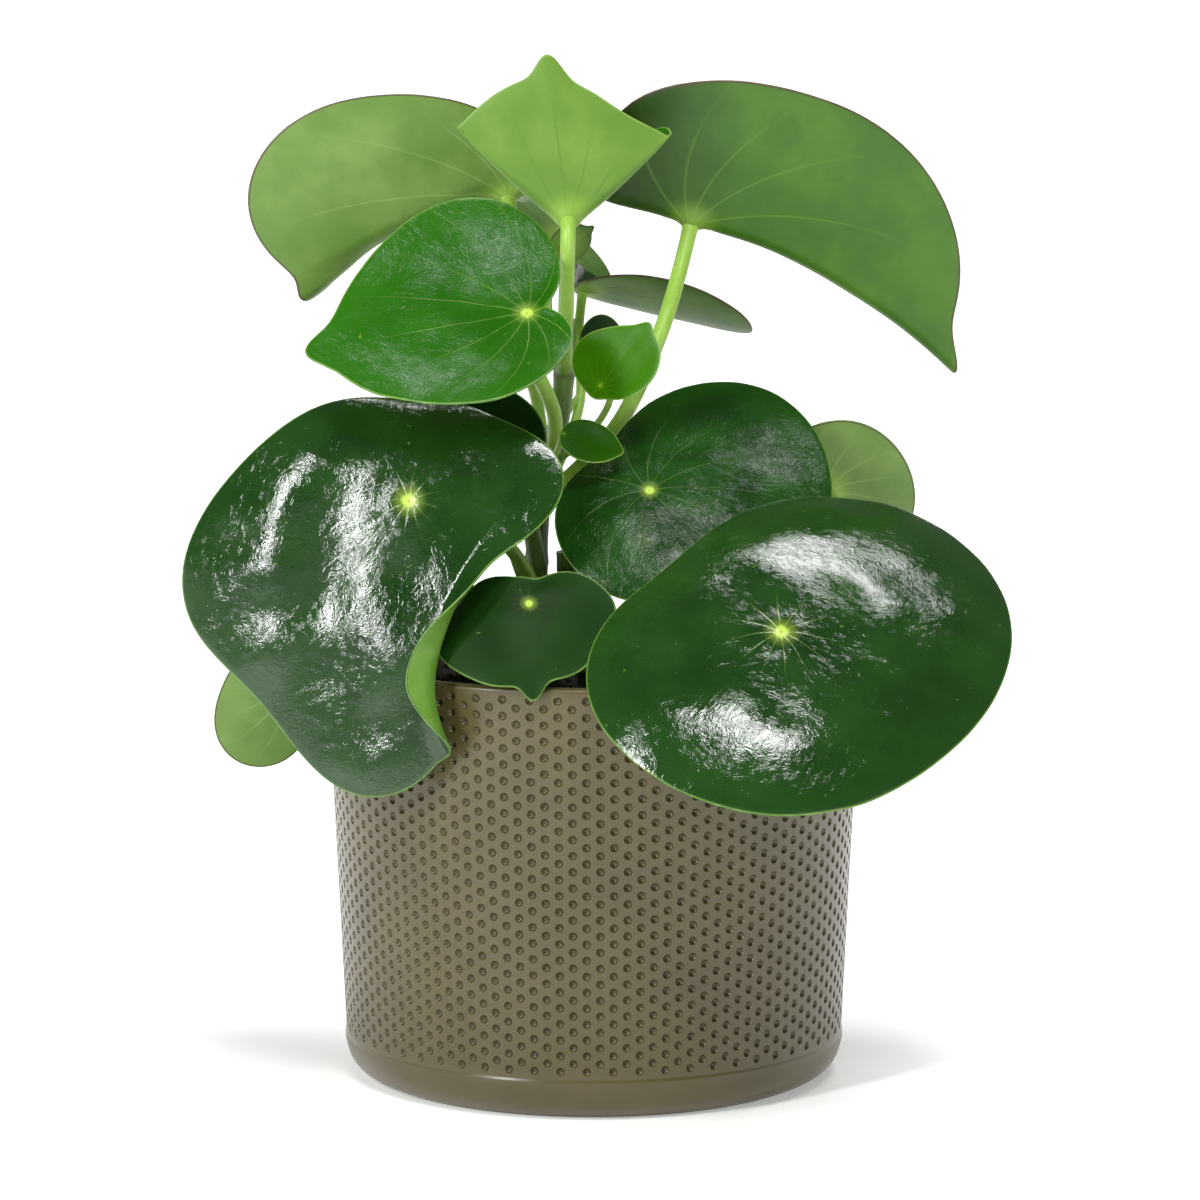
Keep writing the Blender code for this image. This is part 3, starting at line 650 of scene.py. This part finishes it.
def grid_normals(points, faces):
    """Point normals of a mesh of triangles and quads."""
    normals = np.zeros_like(points)
    for face in (np.array([f for f in faces if len(f) == k]) for k in (3, 4)):
        if len(face):
            corners = [points[face[:, k]] for k in range(face.shape[1])]
            if len(corners) == 3:
                across = np.cross(corners[1] - corners[0], corners[2] - corners[0])
            else:
                across = np.cross(corners[2] - corners[0], corners[3] - corners[1])
            for k in range(len(corners)):
                np.add.at(normals, face[:, k], across)
    return normals / np.linalg.norm(normals, axis=1)[:, None]


def sheet_faces(sides, rings):
    faces = [(0, 1 + i, 1 + (i + 1) % sides) for i in range(sides)]
    for ring in range(1, (rings - 1) * sides, sides):
        faces += quads(ring, ring + sides, sides)
    return faces


def circle(sides):
    """The cosine and sine of even steps round a circle."""
    return [(cos(tau * i / sides), sin(tau * i / sides)) for i in range(sides)]


def quads(a, b, sides, turned=False):
    """Quads between two rings, given by the first point of each. turned faces them the other way."""
    faces = []
    for i in range(sides):
        k = (i + 1) % sides
        faces.append((a + i, a + k, b + k, b + i) if turned else (a + i, b + i, b + k, a + k))
    return faces


def in_one_list(grid):
    """The junction once, then the rings."""
    return np.concatenate([grid[0, :1], grid[1:].reshape(-1, *grid.shape[2:])])


def placed(leaf, sheet):
    """The points of a blade in the world, its faces and its normals."""
    points = in_one_list(sheet) @ leaf_frame(leaf) + np.array(leaf["at"])
    faces = sheet_faces(leaf["sides"], leaf["rings"])
    return points, faces, grid_normals(points, faces)


def add_object(name, data):
    """A new object in the scene."""
    item = bpy.data.objects.new(name, data)
    bpy.context.scene.collection.objects.link(item)
    return item


def new_piece(name, points, faces, materials, which=None):
    """A mesh object from points in millimetres, its place in its mesh."""
    mesh = bpy.data.meshes.new(name)
    mesh.from_pydata((np.asarray(points) * MM).tolist(), [], [tuple(f) for f in faces])
    for material in materials:
        mesh.materials.append(material)
    if which is not None:
        mesh.polygons.foreach_set("material_index", np.asarray(which, np.int32))
    mesh.shade_smooth()
    return add_object(name, mesh)


def store(item, name, kind, values):
    layer = item.data.attributes.new(name, kind, "POINT")
    field = "vector" if kind == "FLOAT_VECTOR" else "value"
    layer.data.foreach_set(field, np.asarray(values, np.float32).ravel())


def make_blade(name, leaf, finishes, relief_share, seed):
    """A blade of even thickness with a rounded margin."""
    *looks, relief, size = leaf["looks"]
    sheet, flat, rim = leaf_sheet(leaf, relief * relief_share, size, seed)
    points, faces, normals = placed(leaf, sheet)
    flat, rim = in_one_list(flat), in_one_list(rim)
    sides, count = leaf["sides"], len(points)
    last = count - sides
    half = leaf["thick"] / 2 * (1 - MARGIN_THINNING * flat[:, 2:] ** 10)
    stalk = PETIOLES[name][2]
    reach = np.hypot(flat[:, 0], flat[:, 1])[:, None]
    rise, spread = STALK_SWELLING
    below = half + rise * stalk * np.exp(-(reach / (spread * stalk)) ** 2)
    outward = points[last:] - points[last - sides:last]
    outward /= np.linalg.norm(outward, axis=1)[:, None]
    edge, up, thin = points[last:], normals[last:], half[last:]
    rounds = [edge + thin * (cos(turn) * outward + sin(turn) * up) for turn in map(radians, MARGIN_TURNS)]
    every = np.vstack([points + half * normals, points - below * normals, *rounds])
    loops = [last, 2 * count, 2 * count + sides, 2 * count + 2 * sides, count + last]
    backs = [tuple(count + k for k in reversed(face)) for face in faces]
    margin = [face for a, b in zip(loops, loops[1:]) for face in quads(a, b, sides)]
    which = [0] * len(faces) + [1] * len(backs) + [2] * len(margin)
    materials = [finish[look] for finish, look in zip(finishes, looks)]
    blade = new_piece("blade_" + name, every, faces + backs + margin, materials, which)
    store(blade, "blade", "FLOAT_VECTOR", np.vstack([flat, flat, np.tile(flat[last:], (3, 1))]))
    store(blade, "rim", "FLOAT", np.concatenate([rim, rim, np.zeros(3 * sides)]))
    return blade


# Stems

TRUNK_SIDES = 24
PETIOLE_SIDES = 16
OLD_HEIGHT = 140              # a petiole that starts below this is old and dark


def stem_finish(looks):
    """Green skin, darker and browner on the old stem, with fine streaks and scars at the nodes."""
    m = Finish("stem skin", 0.45)
    tone = m.split(m.attribute("growth", "Vector"))
    scar, under = tone.also("Y"), tone.also("Z")
    place = m.place()
    cloud = m.noise(place, 120, 3)
    streak = m.noise(m.vector("MULTIPLY", place, (1, 1, 0.12)), 900, 3, 0.6)
    skin = m.tint(m.step(tone, 0.0, 1.0), tuple(looks.trunk), tuple(looks.petiole))
    pale = m.step(streak, 0.45, 0.7) * m.step(tone, 0.2, 0.8, 0.08, 0.35)
    skin = m.tint(pale, skin, paint(176, 204, 110))
    skin = m.tint(m.step(cloud, 0.5, 0.75) * m.step(tone, 1.0, 0.3) * 0.3, skin, paint(64, 62, 20))
    skin = m.tint(scar * 0.6, skin, paint(58, 52, 20))
    skin = m.tint(under * 0.5, skin, paint(150, 186, 76))
    return m.end(Base_Color=skin, Roughness=0.32 + cloud * 0.2,
                 Normal=m.bump(streak * 0.7 + cloud * 0.5 - scar * 0.5, 0.3, 0.0004))


def run_along(path):
    """How far along a path each of its points lies."""
    return np.concatenate([[0], np.cumsum(np.linalg.norm(np.diff(path, axis=0), axis=1))])


def smooth_path(points, spacing):
    """A smooth curve through the points, given as points evenly spaced along it."""
    p = np.array(points, float)
    step = np.diff(p, axis=0)
    length = np.linalg.norm(step, axis=1)[:, None]
    way = step / length
    middle = (way[:-1] * length[1:] + way[1:] * length[:-1]) / (length[1:] + length[:-1])
    way = np.vstack([way[:1], middle, way[-1:]])
    fine = []
    for i in range(len(step)):
        for t in np.arange(16) / 16:
            rise = 3 * t ** 2 - 2 * t ** 3
            leave, land = t - 2 * t ** 2 + t ** 3, t ** 3 - t ** 2
            fine.append(p[i] + rise * step[i] + length[i] * (leave * way[i] + land * way[i + 1]))
    fine = np.array(fine + [p[-1]])
    run = run_along(fine)
    even = np.linspace(0, run[-1], max(4, round(run[-1] / spacing) + 1))
    return np.stack([np.interp(even, run, fine[:, axis]) for axis in range(3)], -1)


def make_tube(name, path, radii, sides, material):
    """A closed tube, its rings carried along without twist."""
    along = np.gradient(path, axis=0)
    along /= np.linalg.norm(along, axis=1)[:, None]
    across = np.cross(along[0], (0.3, 1, 0.1))
    points = []
    for centre, way, radius in zip(path, along, radii):
        across = across - way * np.dot(across, way)
        across /= np.linalg.norm(across)
        other = np.cross(way, across)
        points += [centre + radius * (c * across + s * other) for c, s in circle(sides)]
    last = (len(path) - 1) * sides
    faces = [face for ring in range(0, last, sides) for face in quads(ring, ring + sides, sides, True)]
    faces.append(tuple(reversed(range(sides))))
    faces.append(tuple(range(last, last + sides)))
    return new_piece(name, points, faces, [material])


def petiole_path(leaf, stem, height, under, via):
    sheet, _, _ = leaf_sheet(leaf)
    points, _, normals = placed(leaf, sheet)
    end = points[0] - normals[0] * leaf["thick"] * 0.35
    path = smooth_path(stem["path"], 2)
    start = np.array([np.interp(height, path[:, 2], path[:, axis]) for axis in range(3)])
    return smooth_path([start, *via, end - normals[0] * under, end], 2.5)


def make_petiole(name, stem, material):
    """A petiole that swells where it leaves the stem and where it meets the blade."""
    height, under, radius, *via = PETIOLES[name]
    path = petiole_path(LEAVES[name], stem, height, under, via)
    run = run_along(path)
    left = run[-1] - run
    swelling = np.linspace(1.05, 0.95, len(path)) + 0.25 * np.exp(-run / 3.5)
    radii = radius * (swelling + 0.15 * np.exp(-(left / 2.2) ** 2))
    ages = ([0, 10, 30], [0.15, 0.4, 0.6]) if height < OLD_HEIGHT else ([0, 8, 20], [0.3, 0.8, 1.0])
    tone = np.interp(run, *ages)
    growth = np.stack([tone, np.exp(-((run - 3.6) / 0.9) ** 2) * 0.5, np.exp(-left / 4)], -1)
    return make_tube("petiole_" + name, path, radii, PETIOLE_SIDES, material), (path, radii, growth)


def make_stem(name, stem, material, node_step):
    """A stem swollen at its nodes, with its petioles, joined into one closed skin."""
    path = smooth_path(stem["path"], 1.5)
    run = run_along(path)
    nearest = np.abs((run + node_step / 2) % node_step - node_step / 2)
    radii = np.linspace(*stem["radius"], len(path)) * (0.97 + 0.10 * np.exp(-(nearest / 1.8) ** 2))
    growth = np.stack([np.interp(run, [0, run[-1]], [0, 0.35]), np.exp(-(nearest / 0.8) ** 2), 0 * run], -1)
    trunk = make_tube("trunk_" + name, path, radii, TRUNK_SIDES, material)
    lines = [(path, radii, growth)]
    group = bpy.data.collections.new(name + "_petioles")
    bpy.context.scene.collection.children.link(group)
    for leaf in stem["petioles"]:
        piece, line = make_petiole(leaf, stem, material)
        lines.append(line)
        bpy.context.scene.collection.objects.unlink(piece)
        group.objects.link(piece)
    join = trunk.modifiers.new("join", "BOOLEAN")
    join.operation = "UNION"
    join.operand_type = "COLLECTION"
    join.collection = group
    bake_modifiers(trunk)
    for piece in list(group.objects):
        bpy.data.objects.remove(piece)
    bpy.data.collections.remove(group)
    trunk.data.set_sharp_from_angle(angle=radians(50))
    mark_growth(trunk, lines)
    return trunk


def mark_growth(item, lines):
    """Give each point of a joined stem the age, scar and blade values of the nearest centre line."""
    centres, radii, growth = (np.concatenate(values) for values in zip(*lines))
    points = np.array([v.co for v in item.data.vertices]) / MM
    nearest = [np.argmin(np.linalg.norm(centres - point, axis=1) / radii) for point in points]
    store(item, "growth", "FLOAT_VECTOR", growth[nearest])


def bake_modifiers(item):
    """Make a piece's evaluated shape its plain mesh."""
    bpy.context.view_layer.update()
    ready = item.evaluated_get(bpy.context.evaluated_depsgraph_get())
    mesh = bpy.data.meshes.new_from_object(ready)
    item.modifiers.clear()
    item.data = mesh


# Pot

SEAM = 0.00004                # points of the pot this close, in metres, are one
DIMPLE_SIDES = 8
DIMPLE_RINGS = ((1.0, 0.0), (0.84, 0.42), (0.5, 0.84))     # shares of the radius and of the depth


def pot_glaze(looks):
    """Satin glaze with faint clouds and painted shade in the dimples."""
    m = Finish("pot glaze", 0.5)
    place = m.place()
    cloud = m.noise(place, 38, 4, 0.6)
    grain = m.noise(place, 1400, 2)
    pit = m.attribute("pit", "Fac")
    shadow, dark, light = shades(looks.glaze, 0.35, 0.88, 1.1)
    body = m.tint(m.step(cloud, 0.3, 0.7), dark, light)
    # Painted shade: the glaze darker the deeper it lies in a dimple.
    body = m.tint(m.step(pit, 0.3, 1.0) * 0.5, body, shadow)
    body = m.tint(m.step(grain, 0.62, 0.75) * 0.15, body, light)
    return m.end(Base_Color=body, Roughness=0.25 + cloud * 0.1, Normal=m.bump(grain, 0.05, 0.0002))


def dimple_tree():
    """Lays dimple tiles in staggered columns on a flat sheet and rolls it into the tapered wall."""
    m = Tree("dimpled wall", Columns="Int", Rows="Int", Pitch="Float", Tile_width="Float", First="Float",
             Foot_radius="Float", Taper="Float", Material="Material")
    tile, columns, rows, pitch, width, first, foot, taper, glaze = m.given
    index = m.add("GeometryNodeInputIndex")
    half = columns / 2
    plain = m.add("GeometryNodeMeshGrid", None,
                  {"Size X": width, "Size Y": pitch / 2, "Vertices X": 3, "Vertices Y": 2}, "Mesh")

    def lay(shape, count, odd, bottom):
        """Rows of a tile in every second column, from a bottom height up."""
        column = (index % half) * 2 + odd
        row = m.math("FLOOR", index / half)
        spot = m.join((column + 0.5) * width, bottom + row * pitch, 0)
        points = m.add("GeometryNodePoints", None, {"Count": half * count, "Position": spot})
        return m.add("GeometryNodeInstanceOnPoints", None, {"Points": points, "Instance": shape})

    laid = [
        lay(tile, rows, 0, first + 0.5 * pitch),
        lay(tile, rows - 1, 1, first + pitch),
        lay(plain, 1, 1, first + 0.25 * pitch),
        lay(plain, 1, 1, first + rows * pitch - 0.25 * pitch),
    ]
    joined = m.add("GeometryNodeJoinGeometry", None, {0: laid})
    flat = m.add("GeometryNodeRealizeInstances", None, {0: joined})
    place = m.split(m.add("GeometryNodeInputPosition"))
    up, out = place.also("Y"), place.also("Z")
    marked = m.add("GeometryNodeStoreNamedAttribute", {"data_type": "FLOAT", "domain": "POINT"},
                   {"Geometry": flat, "Name": "pit", "Value": out * -1000.0})
    angle = place / (width * columns) * tau
    radius = foot + taper * up + out
    rolled = m.join(radius * m.math("COSINE", angle), radius * m.math("SINE", angle), up)
    wall = m.add("GeometryNodeSetPosition", None, {"Geometry": marked, "Position": rolled})
    wall = m.add("GeometryNodeMergeByDistance", None, {"Geometry": wall, "Distance": SEAM})
    wall = m.add("GeometryNodeSetShadeSmooth", None, {"Geometry": wall})
    return m.end(wall, glaze)


def dimple_tile(width, pitch, radius, depth):
    """One flat cell with a round dimple, in metres, and its eight edge points shared with its neighbours."""
    w, h = width / 2, pitch / 2
    points = [(x, y, 0.0) for x, y in ((w, 0), (w, h), (0, h), (-w, h), (-w, 0), (-w, -h), (0, -h), (w, -h))]
    n = DIMPLE_SIDES
    for reach, down in DIMPLE_RINGS:
        points += [(radius * reach * c, radius * reach * s, -depth * down) for c, s in circle(n)]
    points.append((0.0, 0.0, -depth))
    faces = [face for ring in range(0, 3 * n, n) for face in quads(ring, ring + n, n, True)]
    faces += [(3 * n + k, 3 * n + (k + 1) % n, 4 * n) for k in range(n)]
    mesh = bpy.data.meshes.new("dimple")
    mesh.from_pydata(points, [], faces)
    for edge in mesh.edges:
        edge.use_edge_sharp = all(n <= k < 2 * n for k in edge.vertices)
    return mesh


def turned_parts(sizes, taper):
    """The turned rest of the pot: foot and band, then lip and inside: lists of (radius, height)."""
    foot, top, wall = sizes.foot_radius / MM, sizes.height / MM, sizes.wall / MM
    first = sizes.first / MM
    last = first + sizes.rows * sizes.pitch / MM

    def at(height):
        """The outer radius of the wall."""
        return foot + taper * height

    start, edge = at(first), at(last)
    band = [(start, first), (start + 0.06, first - 0.25), (start + 0.26, first - 0.6),
            (start + 0.33, first - 1.1), (at(8.6) + 0.38, 8.6)]
    corner = [(foot - 7.6 + 8 * cos(radians(turn)), 8 - 8 * sin(radians(turn)))
              for turn in (12, 24, 36, 46, 54, 61)]
    base = [(foot - off, height) for off, height in (
        (3.95, 0.85), (4.5, 0.62), (5.2, 0.55), (5.6, 0.35), (5.8, 0.06), (6.2, 0), (10.5, 0), (11.2, 0.5),
        (12.5, 0.9), (foot, 0.9))]
    lip = [(edge, last), (edge - 0.08, last + 0.4), (edge - 0.42, last + 0.82), (edge - 0.95, top),
           (edge - wall + 1.0, top), (edge - wall + 0.35, top - 0.25), (edge - wall, top - 0.9)]
    inside = [(at(height) - wall - off, height) for off, height in ((0.2, 98), (0.6, 60), (1, 9), (4.5, 5))]
    return band + corner + base, lip + inside + [(0, 5)]


def make_pot(sizes):
    glaze = pot_glaze(sizes)
    width = pi * (sizes.foot_radius + sizes.rim_radius) / sizes.columns
    taper = (sizes.rim_radius - sizes.foot_radius) / sizes.height
    tile = dimple_tile(width, sizes.pitch, sizes.dimple_radius, sizes.dimple_depth)
    pot = add_object("pot_body", tile)
    dimple_tree().run(pot, "dimples", Columns=sizes.columns, Rows=sizes.rows, Pitch=sizes.pitch,
                      Tile_width=width, First=sizes.first, Foot_radius=sizes.foot_radius, Taper=taper,
                      Material=glaze)
    form = bmesh.new()
    form.from_mesh(pot.data)
    sides = 2 * sizes.columns
    for profile in turned_parts(sizes, taper):
        rings = []
        for radius, height in profile:
            rings.append([form.verts.new((MM * radius * c, MM * radius * s, MM * height))
                          for c, s in (circle(sides) if radius else [(1, 0)])])
        for a, b in zip(rings, rings[1:]):
            for i in range(sides):
                k = (i + 1) % sides
                form.faces.new([a[i], a[k], b[0]] if len(b) == 1 else [a[i], a[k], b[k], b[i]])
    bmesh.ops.remove_doubles(form, verts=form.verts, dist=SEAM)
    bmesh.ops.recalc_face_normals(form, faces=form.faces)
    for face in form.faces:
        face.smooth = True
        face.material_index = 0
    form.to_mesh(pot.data)
    form.free()
    pot.data.materials.clear()
    pot.data.materials.append(glaze)
    return pot


# Soil

SOIL_FOOT = 5.6               # height of the underside of the soil


def soil_finish(looks):
    m = Finish("damp soil", 0.3)
    place = m.place()
    cloud = m.noise(place, 240, 5, 0.65)
    grain = m.noise(place, 1500, 3, 0.7)
    dark, plain, light = shades(looks.colour, 0.5, 1, 2.4)
    body = m.tint(m.step(cloud, 0.35, 0.7), dark, plain)
    body = m.tint(m.step(grain, 0.6, 0.75) * 0.5, body, light)
    return m.end(Base_Color=body, Roughness=0.75 + cloud * 0.2, Normal=m.bump(grain + cloud, 0.7, 0.0008))


def soil_tree():
    """Scatters crumbs over the top of the soil."""
    m = Tree("soil crumbs", Density="Float", Seed="Int", Material="Material")
    soil, density, seed, earth = m.given

    def chance(low, high, number):
        return m.add("FunctionNodeRandomValue", {"data_type": "FLOAT_VECTOR"},
                     {"Min": low, "Max": high, "Seed": number})

    facing = m.split(m.add("GeometryNodeInputNormal")).also("Z")
    high = m.math("GREATER_THAN", facing, 0.6)
    points = m.add("GeometryNodeDistributePointsOnFaces", {"distribute_method": "RANDOM"},
                   {"Mesh": soil, "Selection": high, "Density": density, "Seed": seed})
    crumb = m.add("GeometryNodeMeshIcoSphere", None, {"Radius": 0.001, "Subdivisions": 1})
    size = chance((0.35, 0.35, 0.25), (1.5, 1.1, 0.9), 3)
    turn = chance((0, 0, 0), (tau, tau, tau), 8)
    laid = m.add("GeometryNodeInstanceOnPoints", None,
                 {"Points": points, "Instance": crumb, "Rotation": turn, "Scale": size})
    real = m.add("GeometryNodeRealizeInstances", None, {0: laid})
    push = m.noise(m.add("GeometryNodeInputPosition"), 900, 1).also("Color")
    push = m.vector("SUBTRACT", push, (0.5, 0.5, 0.5))
    push = m.add("ShaderNodeVectorMath", {"operation": "SCALE"}, {0: push, "Scale": 0.0012})
    rough = m.add("GeometryNodeSetPosition", None, {"Geometry": real, "Offset": push})
    both = m.add("GeometryNodeJoinGeometry", None, {0: [soil, rough]})
    return m.end(both, earth)


def make_soil(sizes, pot):
    """Lumpy ground that fills the pot, with crumbs on top."""
    slope = (pot.rim_radius - pot.foot_radius) / pot.height
    inner = pot.foot_radius / MM - pot.wall / MM - 0.35
    top, sides, rings = sizes.level / MM, 96, 30
    radius = np.linspace(0, inner + slope * top, rings + 1)[1:, None]
    angle = np.arange(sides)[None, :] * tau / sides
    x, y = radius * np.cos(angle), radius * np.sin(angle)
    lumps = np.sin(0.21 * x + 1.1) * np.cos(0.17 * y) + np.sin(0.37 * y + 0.4) * np.cos(0.31 * x)
    lumps = 0.65 * (lumps + np.sin(0.55 * (x + y)) / 2)
    z = top + lumps + 0.5 * crumple(x, y, 11, 7) + 0.3 * crumple(x, y, 12, 3)
    foot = inner + slope * SOIL_FOOT - 1
    under = np.stack([foot * np.cos(angle), foot * np.sin(angle), np.full_like(angle, SOIL_FOOT)], -1)
    points = np.vstack([[(0, 0, top)], np.stack([x, y, z], -1).reshape(-1, 3), under.reshape(-1, 3)])
    faces = sheet_faces(sides, rings + 1)
    faces.append(tuple(1 + rings * sides + i for i in reversed(range(sides))))
    soil = new_piece("soil_bed", points, faces, [])
    soil_tree().run(soil, "crumbs", Density=sizes.crumbs, Seed=sizes.seed, Material=soil_finish(sizes))
    return soil


# Stage

CAMERA_PLACE = (0.0016, -1.165, 0.2745)
CAMERA_TILT = 7.38            # degrees that the camera looks down


def add_light(name, place, aim, size, power):
    data = bpy.data.lights.new(name, "AREA")
    data.shape = "RECTANGLE"
    data.size, data.size_y = size
    data.energy = power
    lamp = add_object(name, data)
    lamp.location = place
    lamp.rotation_euler = (Vector(aim) - Vector(place)).to_track_quat("-Z", "Y").to_euler()


def make_floor(looks):
    """A wide pale dish, flat under the plant and rising softly far away all round. It glows: painted light,
    weakest under the plant and dimmer towards the front.
    """
    rings = [(400, 0), (800, 0), (1400, 0), (2000, 0)]
    rings += [(2000 + 1000 * sin(radians(a)), 900 * (1 - cos(radians(a)))) for a in range(10, 91, 10)]
    sides = 96
    points = [(0, 0, 0)] + [(radius * c, radius * s, height) for radius, height in rings
                            for c, s in circle(sides)]
    m = Finish("studio floor", 0.2, Roughness=0.55, Emission_Strength=1.0)
    x = m.split(m.place())
    y = x.also("Y")
    reach = (x * x + y * y) ** 0.5
    # Painted light: the floor glows, weakest under the plant, strongest far off and dimmer towards the front.
    glow = m.tint(m.step(reach, 0.05, 0.32), (0.3, 0.3, 0.3), (0.76, 0.76, 0.76))
    glow = m.tint(m.step(y, -0.7, -1.8), glow, (0.35, 0.35, 0.35))
    pale = m.tint(m.step(m.noise(m.place(), 6, 2), 0.2, 0.8), *shades(looks.floor, 1, 0.99))
    material = m.end(Base_Color=pale, Emission_Color=glow)
    floor = new_piece("studio_floor", points, sheet_faces(sides, len(rings)), [material])


def make_stage(looks):
    scene = bpy.context.scene
    make_floor(looks)
    add_light("key_light", (-0.88, -0.98, 0.74), (0, 0, 0.16), (0.12, 0.7), looks.key)
    add_light("top_light", (0.1, -0.72, 1.14), (0, 0, 0.12), (0.34, 0.28), looks.top)
    add_light("back_light", (0.25, 0.35, 1.3), (0, 0, 0.12), (0.9, 0.26), looks.back)
    world = bpy.data.worlds.new("studio")
    world.use_nodes = True
    sky = world.node_tree.nodes["Background"]
    sky.inputs["Color"].default_value = (1, 1, 1, 1)
    sky.inputs["Strength"].default_value = looks.surround
    scene.world = world
    scene.view_settings.view_transform = "Standard"
    lens = bpy.data.cameras.new("camera")
    lens.lens = 135
    lens.sensor_width = 36
    camera = add_object("camera", lens)
    camera.location = CAMERA_PLACE
    camera.rotation_euler = (radians(90 - CAMERA_TILT), 0, 0)
    scene.camera = camera


# Operators

def settle(piece, slot, *nodes):
    """A finished piece rides on the body and stands for its nodes, which are hidden. slot is not used."""
    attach(piece, "root")
    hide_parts(*nodes)


class PEPEROMIA_OT_pot(bpy.types.Operator):
    """Make the dimpled pot"""
    bl_idname = "peperomia.pot"
    bl_label = "Pot"

    def execute(self, context):
        settle(make_pot(context.scene.peperomia_pot), "pot", "pot")
        return {"FINISHED"}


class PEPEROMIA_OT_soil(bpy.types.Operator):
    """Make the soil with its crumbs"""
    bl_idname = "peperomia.soil"
    bl_label = "Soil"

    def execute(self, context):
        settle(make_soil(context.scene.peperomia_soil, context.scene.peperomia_pot), "soil", "soil")
        return {"FINISHED"}


class PEPEROMIA_OT_stems(bpy.types.Operator):
    """Make the stems with their petioles"""
    bl_idname = "peperomia.stems"
    bl_label = "Stems"

    def execute(self, context):
        looks = context.scene.peperomia_stem
        skin = stem_finish(looks)
        for name, stem in STEMS.items():
            settle(make_stem(name, stem, skin, looks.node_step / MM), "stem", name)
        return {"FINISHED"}


class PEPEROMIA_OT_leaves(bpy.types.Operator):
    """Make the leaves"""
    bl_idname = "peperomia.leaves"
    bl_label = "Leaves"

    def execute(self, context):
        looks = context.scene.peperomia_leaf
        finishes = leaf_finishes(looks)
        for number, (name, leaf) in enumerate(LEAVES.items()):
            blade = make_blade(name, leaf, finishes, looks.relief, leaf.get("seed", number))
            settle(blade, "leaf", "leaf_" + name)
        return {"FINISHED"}


class PEPEROMIA_OT_stage(bpy.types.Operator):
    """Make the floor, the lights and the camera"""
    bl_idname = "peperomia.stage"
    bl_label = "Stage"

    def execute(self, context):
        make_stage(context.scene.peperomia_stage)
        return {"FINISHED"}


class PEPEROMIA_PT_plant(bpy.types.Panel):
    """The plant's pieces and their sizes and colours"""
    bl_idname = "PEPEROMIA_PT_plant"
    bl_label = "Potted Peperomia"
    bl_space_type = "VIEW_3D"
    bl_region_type = "UI"
    bl_category = "Peperomia"

    def draw(self, context):
        for part, (group, operator) in PARTS.items():
            box = self.layout.box()
            box.operator(operator.bl_idname)
            for name in group.__annotations__:
                box.prop(getattr(context.scene, "peperomia_" + part), name)


PARTS = {
    "pot": (PotProperties, PEPEROMIA_OT_pot),
    "soil": (SoilProperties, PEPEROMIA_OT_soil),
    "stem": (StemProperties, PEPEROMIA_OT_stems),
    "leaf": (LeafProperties, PEPEROMIA_OT_leaves),
    "stage": (StageProperties, PEPEROMIA_OT_stage),
}
CLASSES = [*(item for pair in PARTS.values() for item in pair), PEPEROMIA_PT_plant]


def register():
    for item in CLASSES:
        bpy.utils.register_class(item)
    for part, (group, _) in PARTS.items():
        setattr(bpy.types.Scene, "peperomia_" + part, PointerProperty(type=group))


def unregister():
    for part in PARTS:
        delattr(bpy.types.Scene, "peperomia_" + part)
    for item in reversed(CLASSES):
        bpy.utils.unregister_class(item)


def main():
    register()
    bpy.ops.peperomia.pot()
    bpy.ops.peperomia.soil()
    bpy.ops.peperomia.stems()
    bpy.ops.peperomia.leaves()
    bpy.ops.peperomia.stage()
    bpy.context.view_layer.update()


if __name__ == "__main__":
    main()
